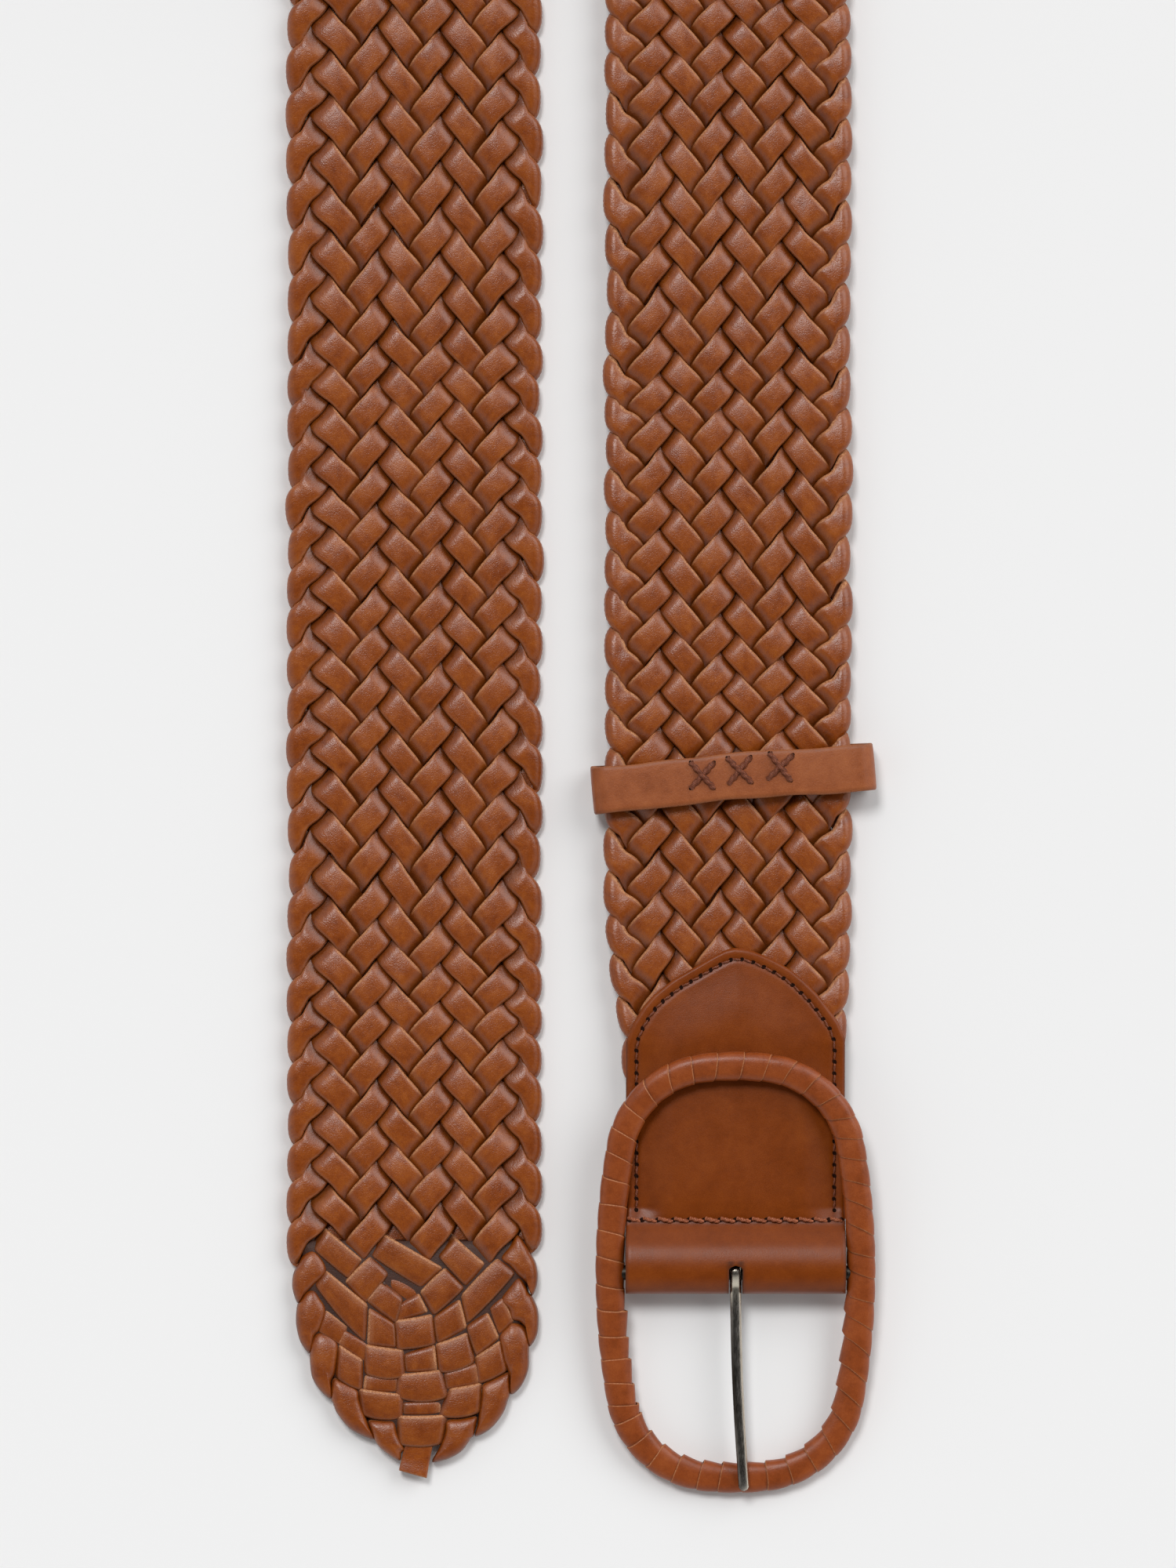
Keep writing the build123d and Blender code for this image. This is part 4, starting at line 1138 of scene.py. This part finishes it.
zt = top + 0.02
pp = []
pp += corner_pts(hw - r_, zc0 + r_, -90, 0)
pp += corner_pts(hw - r_, zt - r_, 0, 90)
pp += corner_pts(-hw + r_, zt - r_, 90, 180)
pp += corner_pts(-hw + r_, zc0 + r_, 180, 270)
pp = np.array(pp + [pp[0]])
pp = resample(pp, n=261)[:-1]
tg = np.roll(pp, -1, 0) - np.roll(pp, 1, 0)
tg /= np.linalg.norm(tg, axis=1, keepdims=True)
nrm2 = np.stack([tg[:, 1], -tg[:, 0]], -1)               # outward
ys = np.array([-1.0, -0.985, -0.93, -0.8, -0.55, -0.2, 0.2, 0.55, 0.8, 0.93, 0.985, 1.0])
hs = np.array([0.35, 0.72, 0.90, 0.97, 1.0, 1.02, 1.02, 1.0, 0.97, 0.90, 0.72, 0.35])
sec_y = np.r_[ys, ys[::-1]]
sec_h = np.r_[hs, -hs[::-1]]
edg = np.r_[0.8, 0.5, 0.1, np.zeros(6), 0.1, 0.5, 0.8, 0.8, 0.5, 0.1, np.zeros(6), 0.1, 0.5, 0.8]
kr = np.random.default_rng(3)
rows, E, D = [], [], []
for i, ((x, z), nn_) in enumerate(zip(pp, nrm2)):
    ontop = z > 6
    wav = 0.16 * math.sin(x * 0.19 + 1.0) + 0.10 * math.sin(x * 0.43 + 2.0)
    hl = KL / 2 * (1.0 + 0.02 * math.sin(x * 0.31))
    h = sec_h * KT / 2
    lap = 0.0
    if ontop:
        # one end of the strap laps over the other under the crosses
        lap = 0.22 * float(sstep(np.array((x + 11.0) / 0.8))) * (1 - float(sstep(np.array((x - 13.5) / 3.0))))
    X = x + nn_[0] * (h + lap)
    Z = z + nn_[1] * (h + lap)
    thin = 1 - float(np.clip((z - zc0) / 1.5, 0, 1))         # the strip is skived where it passes under the strap
    Z = Z * (1 - thin) + (0.03 + (Z - 0.02) * 0.56) * thin
    bend = 0.35 * math.cos(x / 33.0 * math.pi * 0.9) if ontop else 0.2 * math.sin(x * 0.1)
    Y = sec_y * hl + wav * 0.6 + bend - 0.15
    a = math.radians(5.0)
    rows.append(np.stack([KCX + X * math.cos(a) - Y * math.sin(a), KCY + X * math.sin(a) + Y * math.cos(a), np.maximum(Z, 0.03)], -1))
    E.append(edg * 0.75)
    # painted shade along the strip's rounded edges and on the parts off the top
    D.append(np.clip(0.25 * (np.abs(sec_y) > 0.9), 0, 1) + (0.25 if not ontop else 0))
b = Build()
b.grid(np.array(rows), close_u=True, close_v=True, flip=True, edge=np.array(E), deep=np.array(D))
kl = np.array(rows).reshape(-1, 3)
keeper = b.done("keeper_band", [KEEP])
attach(keeper, "keeper"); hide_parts("keeper_loop")
bt = Build()
bh2 = Build()
for x, y, spin in ((31.0, 166.9, 0.0), (39.8, 168.1, 3.0), (49.4, 168.9, -4.0)):
    for sgn_, lift_ in ((1, 0.0), (-1, 0.26)):
        a = math.radians(sgn_ * 48 + spin)
        L = 4.05
        pts = []
        for f in np.linspace(-1, 1, 13):
            lap = 0.22
            z = KH + 0.02 + lap + 0.12 + (0.20 + lift_ * (1 if abs(f) < 0.35 else 0.45)) * (1 - abs(f) ** 3) - 0.28 * abs(f) ** 5
            pts.append((x + L * f * math.cos(a), y + L * f * math.sin(a), z))
        tube(bt, pts, 0.66, 10, twist=1.7)
        for f in (-1.0, 1.0):
            hx, hy = x + (L + 0.1) * f * math.cos(a), y + (L + 0.1) * f * math.sin(a)
            hole_shade_disc(bh2, hx, hy, KH + 0.2, 0.45, 0.40, a, 0.06)
th3 = bt.done("keeper_cross_thread", [THREAD_DK])
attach(th3, "keeper"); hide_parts("keeper_lap_seam")
ho = bh2.done("keeper_seam_hole_shades", [HOLE_SHADE])
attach(ho, "keeper"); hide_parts("keeper_lap_seam")


# ================================================================ buckle: leather tape wound round the oval
BX, BY, BZ, TILT = 38.9, 49.2, 6.8, math.radians(5.2)
SIDE_R, END_R, CORNER_R, BA, BB = 180.0, 66.0, 26.0, 33.05, 52.6
ax_c, ey_c = BA - SIDE_R, BB - END_R
d1, d2 = SIDE_R - CORNER_R, END_R - CORNER_R
dd = math.hypot(ax_c, ey_c)
kk = (d1 * d1 - d2 * d2 + dd * dd) / (2 * dd)
hh = math.sqrt(d1 * d1 - kk * kk)
mx, my = ax_c + kk * (-ax_c) / dd, kk * ey_c / dd
cand = [(mx - hh * ey_c / dd, my + hh * (-ax_c) / dd), (mx + hh * ey_c / dd, my - hh * (-ax_c) / dd)]
ccx, ccy = max(cand)


def oval_mid():
    s_, c_, e_ = SIDE_R - 3.3, CORNER_R - 3.3, END_R - 3.3
    a1 = math.atan2(ccy, ccx - ax_c)
    a2 = math.atan2(ccy - ey_c, ccx)
    P = [(ax_c + s_ * math.cos(t), s_ * math.sin(t)) for t in np.linspace(0, a1, 300)]
    P += [(ccx + c_ * math.cos(t), ccy + c_ * math.sin(t)) for t in np.linspace(a1, a2, 300)[1:]]
    P += [(e_ * math.cos(t), ey_c + e_ * math.sin(t)) for t in np.linspace(a2, math.pi / 2, 300)[1:]]
    P = np.array(P)
    Q = P[::-1][1:] * [-1, 1]
    Up = np.r_[P, Q]
    return np.r_[Up, Up[::-1][1:-1] * [1, -1]]


OV = oval_mid()
OV = np.r_[OV, OV[:1]]
OVL = np.r_[0, np.cumsum(np.linalg.norm(np.diff(OV, axis=0), axis=1))]
PERIM = OVL[-1]
OVL = OVL / PERIM


def oval_at(t):
    t = np.mod(t, 1.0)
    x = np.interp(t, OVL, OV[:, 0]); y = np.interp(t, OVL, OV[:, 1])
    e = 0.0015
    x1 = np.interp(np.mod(t + e, 1), OVL, OV[:, 0]); y1 = np.interp(np.mod(t + e, 1), OVL, OV[:, 1])
    x0 = np.interp(np.mod(t - e, 1), OVL, OV[:, 0]); y0 = np.interp(np.mod(t - e, 1), OVL, OV[:, 1])
    tx, ty = x1 - x0, y1 - y0
    m_ = np.hypot(tx, ty)
    return x, y, ty / m_, -tx / m_                      # point and outward normal


SEAMS = [(0.3923, 0.4000), (0.3722, 0.3787), (0.3513, 0.3556), (0.3292, 0.3347), (0.3067, 0.3132), (0.2879, 0.2893), (0.2655, 0.2696),
         (0.2423, 0.2475), (0.2200, 0.2271), (0.2001, 0.2069), (0.1795, 0.1822), (0.1585, 0.1623), (0.1370, 0.1447), (0.1180, 0.1262),
         (0.0992, 0.1077), (0.0767, 0.0872), (0.0563, 0.0691), (0.0341, 0.0469), (0.0148, 0.0202), (-0.0045, 0.0045), (-0.0261, -0.0190),
         (-0.0503, -0.0361), (-0.0725, -0.0557), (-0.0955, -0.0810), (-0.1177, -0.1037), (-0.1384, -0.1278), (-0.1615, -0.1506),
         (-0.1808, -0.1770), (-0.2018, -0.1996), (-0.2219, -0.2216), (-0.2432, -0.2418), (-0.2644, -0.2621), (-0.2827, -0.2805),
         (-0.3037, -0.3034), (-0.3257, -0.3262), (-0.3464, -0.3464), (-0.3665, -0.3687), (-0.3831, -0.3793), (-0.4034, -0.3991),
         (-0.4236, -0.4221), (-0.4452, -0.4417), (-0.4682, -0.4653), (-0.4898, -0.4858), (-0.5148, -0.5102), (-0.5384, -0.5341),
         (-0.5617, -0.5600), (-0.5855, -0.5804)]


def place_buckle(x, y, z):
    return np.stack([BX + x, BY + y * math.cos(TILT) - z * math.sin(TILT), BZ + y * math.sin(TILT) + z * math.cos(TILT)], -1)


beta = np.linspace(0, 2 * np.pi, 36, endpoint=False)
bx_ = 3.3 * np.sign(np.cos(beta)) * np.abs(np.cos(beta)) ** 0.62
bz_ = 2.25 * np.sign(np.sin(beta)) * np.abs(np.sin(beta)) ** 0.78
nb = np.stack([np.cos(beta) * 0.8, np.sin(beta)], -1)
nb /= np.linalg.norm(nb, axis=1, keepdims=True)
order = sorted(range(len(SEAMS)), key=lambda i: SEAMS[i][0])
ups, los = Build(), Build()
br = np.random.default_rng(9)
for n_ in range(len(order)):
    a = SEAMS[order[n_]]
    c = SEAMS[order[(n_ + 1) % len(order)]]
    if n_ == len(order) - 1:
        c = (c[0] + 1.0, c[1] + 1.0)
    mid = ((a[0] + c[0]) / 2) % 1.0
    lower = mid > 0.5
    g = (bx_ + 3.3) / 6.6
    hook = (0.0035 if (mid < 0.2 or mid > 0.93) else 0.0012) * np.clip((-bx_ - 2.4) / 0.9, 0, 1) ** 1.5
    under = (bz_ < 0).astype(float)
    wig = 0.0006 * np.sin(beta * 2 + n_)
    ta = a[1] + (a[0] - a[1]) * g + hook + wig
    tc = c[1] + (c[0] - c[1]) * g + hook + wig
    fs = np.r_[-0.045, 0.0, 0.028, np.linspace(0.10, 1.0, 9), 1.02, 1.035]
    step_amp = 0.17 + 0.05 * br.random()
    inner_amp = (0.42 + 0.18 * br.random()) if (0.53 < mid < 0.97) else 0.05
    rows, E, D = [], [], []
    for q_, f in enumerate(fs):
        t_ = ta + (tc - ta) * f
        x, y, nx, ny = oval_at(t_)
        # high at the low-t end, where its raw edge covers the neighbour
        up_ = (1 - np.clip(f, 0, 1))
        off = -0.06 + step_amp * up_ + 0.05 * math.sin(math.pi * min(max(f, 0), 1))
        if q_ == 0:
            off = -0.30
        inn = np.clip((-bx_ - 1.6) / 1.7, 0, 1)
        outw = np.clip((bx_ - 1.6) / 1.7, 0, 1)
        o_in = inner_amp * up_ * inn
        chord = -0.10 * (1 - math.sin(math.pi * min(max(f, 0), 1))) * outw
        X = bx_ + nb[:, 0] * off - o_in + chord
        Z = bz_ + nb[:, 1] * off
        rows.append(place_buckle(x + nx * X, y + ny * X, Z))
        E.append(np.full(len(beta), (1.0, 0.85, 0.0)[q_] if q_ <= 2 else 0.0))
        # painted shade where each turn tucks under the next, and a little on its raw wall
        D.append(np.full(len(beta), 0.5 if q_ >= 11 else (0.22 if q_ == 0 else 0.0)))
    tgt = los if lower else ups
    rows = np.array(rows)
    # short raw wall at the overlapping edge
    E = np.array(E); D = np.array(D)
    tgt.grid(rows, close_v=True, edge=E, deep=D, flip=False)
for bld, nm, node in ((ups, "buckle_wrap_upper", "buckle_cover_upper"), (los, "buckle_wrap_lower", "buckle_cover_lower")):
    o = bld.done(nm, [COVER])
    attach(o, "buckle"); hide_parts(node)

for nm in ("buckle_core", "buckle_bar"):
    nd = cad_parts[nm]
    nd.data.materials.clear()
    nd.data.materials.append(STEEL_RAW)

# ================================================================ prong
pth = [(-1.9, -1.6), (-0.6, -2.41), (0.9, -2.32), (2.1, -1.33), (2.48, 0.2), (1.85, 1.66), (0.6, 2.41), (-1.2, 2.06), (-3.2, 1.18), (-6.0, 1.02),
       (-10.0, 1.12), (-20.0, 1.85), (-30.0, 2.62), (-38.0, 3.2), (-43.0, 3.5), (-47.5, 3.62), (-50.2, 3.5), (-51.5, 3.15)]
pc = resample(catmull(pth, 500), step=0.45)
tg = np.gradient(pc, axis=0)
tg /= np.linalg.norm(tg, axis=1, keepdims=True)
nrmp = np.stack([tg[:, 1], -tg[:, 0]], -1)
sx = np.array([-1.40, -1.36, -1.15, -0.75, -0.25, 0.3, 0.80, 0.98, 1.22, 1.38, 1.40])
sh = np.array([-0.20, 0.35, 0.72, 0.90, 0.97, 0.95, 0.86, 0.78, 0.42, -0.02, -0.30])
low_x = np.array([1.25, 0.6, 0.0, -0.6, -1.25])
low_h = np.array([-0.75, -0.92, -0.95, -0.92, -0.75])
px_, ph_ = np.r_[sx, low_x], np.r_[sh, low_h]
# painted dark reflection down one flank and underneath (dk), painted highlight along the other shoulder (lt)
dk = np.r_[0.95, 0.95, 0.90, 0.72, 0.42, 0.20, 0.10, 0.0, 0.0, 0.25, 0.4, 0.5, 0.5, 0.5, 0.5, 0.7]
lt = np.r_[0, 0, 0, 0, 0, 0.0, 0.25, 0.75, 0.8, 0.2, 0, 0, 0, 0, 0, 0.0]
rows, E, D = [], [], []
lean = math.radians(2.3)
n_p = len(pc)
for i, (y, z) in enumerate(pc):
    f = np.clip(-y / 51.0, 0, 1)
    endr = (n_p - 1 - i) * 0.45
    tip = math.sqrt(max(0.02, 1 - (1 - min(endr / 1.1, 1)) ** 2))
    wscale = (0.97 - 0.05 * f) * tip
    hscale = (0.64 + 0.34 * float(sstep(np.array((i * 0.45 - 11.5) / 5.0)))) * (0.55 + 0.45 * tip)
    X = px_ * wscale - 0.50 * math.sin(math.pi * f)
    Y = y - nrmp[i, 0] * 0 + ph_ * hscale * nrmp[i, 0]
    Z = z + ph_ * hscale * nrmp[i, 1]
    xr_ = X * math.cos(lean) - Y * math.sin(lean) if y < 0 else X
    yr_ = X * math.sin(lean) + Y * math.cos(lean) if y < 0 else Y
    rows.append(place_buckle(xr_, yr_, Z))
    # painted highlight near the root, with less painted dark reflection there
    near = float(np.exp(-((y + 2.6) / 3.2) ** 2)) if z > 0.8 else 0.0
    E.append(np.clip(lt * (0.75 if z > 0.5 else 0.0) + near * 0.95 * (ph_ > 0.3), 0, 1))
    D.append(np.clip(dk * (1 - near) * (1 - 0.25 * math.sin(f * 9)), 0, 1))
b = Build()
b.grid(np.array(rows), close_v=True, edge=np.array(E), deep=np.array(D), flip=False)
for i in (0, n_p - 1):
    cpt = np.array(rows)[i].mean(0)[None, :]
    off = i * len(px_) - b.n
    m_ = len(px_)
    q = [[off + j, off + (j + 1) % m_, 0, 0] if i else [off + (j + 1) % m_, off + j, 0, 0] for j in range(m_)]
    b.add(cpt, np.array(q), 0, edge=0.0, deep=0.3)
prong = b.done("prong_steel", [STEEL])
bm = bmesh.new(); bm.from_mesh(prong.data); bmesh.ops.recalc_face_normals(bm, faces=bm.faces); bm.to_mesh(prong.data); bm.free()
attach(prong, "prong"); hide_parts("prong")


# ================================================================ floor, light, camera
me = bpy.data.meshes.new("floor")
me.from_pydata([(-4, -4, 0), (4, -4, 0), (4, 4, 0), (-4, 4, 0)], [], [(0, 1, 2, 3)])
floor = bpy.data.objects.new("floor", me)
bpy.context.scene.collection.objects.link(floor)
fm = bpy.data.materials.new("floor_mat")
fm.use_nodes = True
fb = fm.node_tree.nodes["Principled BSDF"]
fb.inputs["Base Color"].default_value = (0.90, 0.90, 0.90, 1)
fb.inputs["Roughness"].default_value = 0.9
fb.inputs["Specular IOR Level"].default_value = 0.1
me.materials.append(fm)

scene = bpy.context.scene
world = bpy.data.worlds.new("studio")
scene.world = world
world.use_nodes = True
world.node_tree.nodes["Background"].inputs["Color"].default_value = (1, 1, 1, 1)
# a pale dome, brighter towards the walls than overhead
wt = world.node_tree
wc = wt.nodes.new("ShaderNodeTexCoord")
ws = wt.nodes.new("ShaderNodeSeparateXYZ")
wm = wt.nodes.new("ShaderNodeMapRange")
wm.interpolation_type = "SMOOTHSTEP"
wm.inputs["From Min"].default_value = 0.60
wm.inputs["From Max"].default_value = 0.93
wm.inputs["To Min"].default_value = 0.56
wm.inputs["To Max"].default_value = 0.03
wt.links.new(wc.outputs["Generated"], ws.inputs["Vector"])
wt.links.new(ws.outputs["Z"], wm.inputs["Value"])
wh = wt.nodes.new("ShaderNodeMapRange")                    # the walls meet the floor in the same pale tone
wh.interpolation_type = "SMOOTHSTEP"
wh.inputs["From Min"].default_value = 0.05
wh.inputs["From Max"].default_value = 0.35
wh.inputs["To Min"].default_value = 0.30
wh.inputs["To Max"].default_value = 0.0
wa = wt.nodes.new("ShaderNodeMath")
wa.operation = "ADD"
wt.links.new(ws.outputs["Z"], wh.inputs["Value"])
wt.links.new(wm.outputs["Result"], wa.inputs[0])
wt.links.new(wh.outputs["Result"], wa.inputs[1])
wt.links.new(wa.outputs[0], wt.nodes["Background"].inputs["Strength"])


def sun(name, az, el, angle, strength, color=(1, 1, 1)):
    """Soft light from compass angle az (0 = +Y, 90 = +X) at elevation el."""
    d = bpy.data.lights.new(name, "SUN")
    d.energy = strength
    d.angle = math.radians(angle)
    d.color = color
    o = bpy.data.objects.new(name, d)
    a, e = math.radians(az), math.radians(el)
    from mathutils import Vector
    to = -Vector((math.sin(a) * math.cos(e), math.cos(a) * math.cos(e), math.sin(e)))
    o.rotation_euler = to.to_track_quat("-Z", "Y").to_euler()
    scene.collection.objects.link(o)
    return o


sun("key", 52, 38, 44, 1.15)
sun("sheen", -22, 60, 18, 1.42)

cam = bpy.data.cameras.new("camera")
cam.type = "PERSP"
cam.sensor_fit = "VERTICAL"
cam.sensor_height = 36.0
cam.lens = 36.0 * 1.8 / 0.37244
cam.clip_start = 0.01
cam.clip_end = 50
co = bpy.data.objects.new("camera", cam)
co.location = (0.00182, -0.1052, 1.8)
scene.collection.objects.link(co)
scene.camera = co
scene.view_settings.view_transform = "Standard"
scene.view_settings.look = "None"
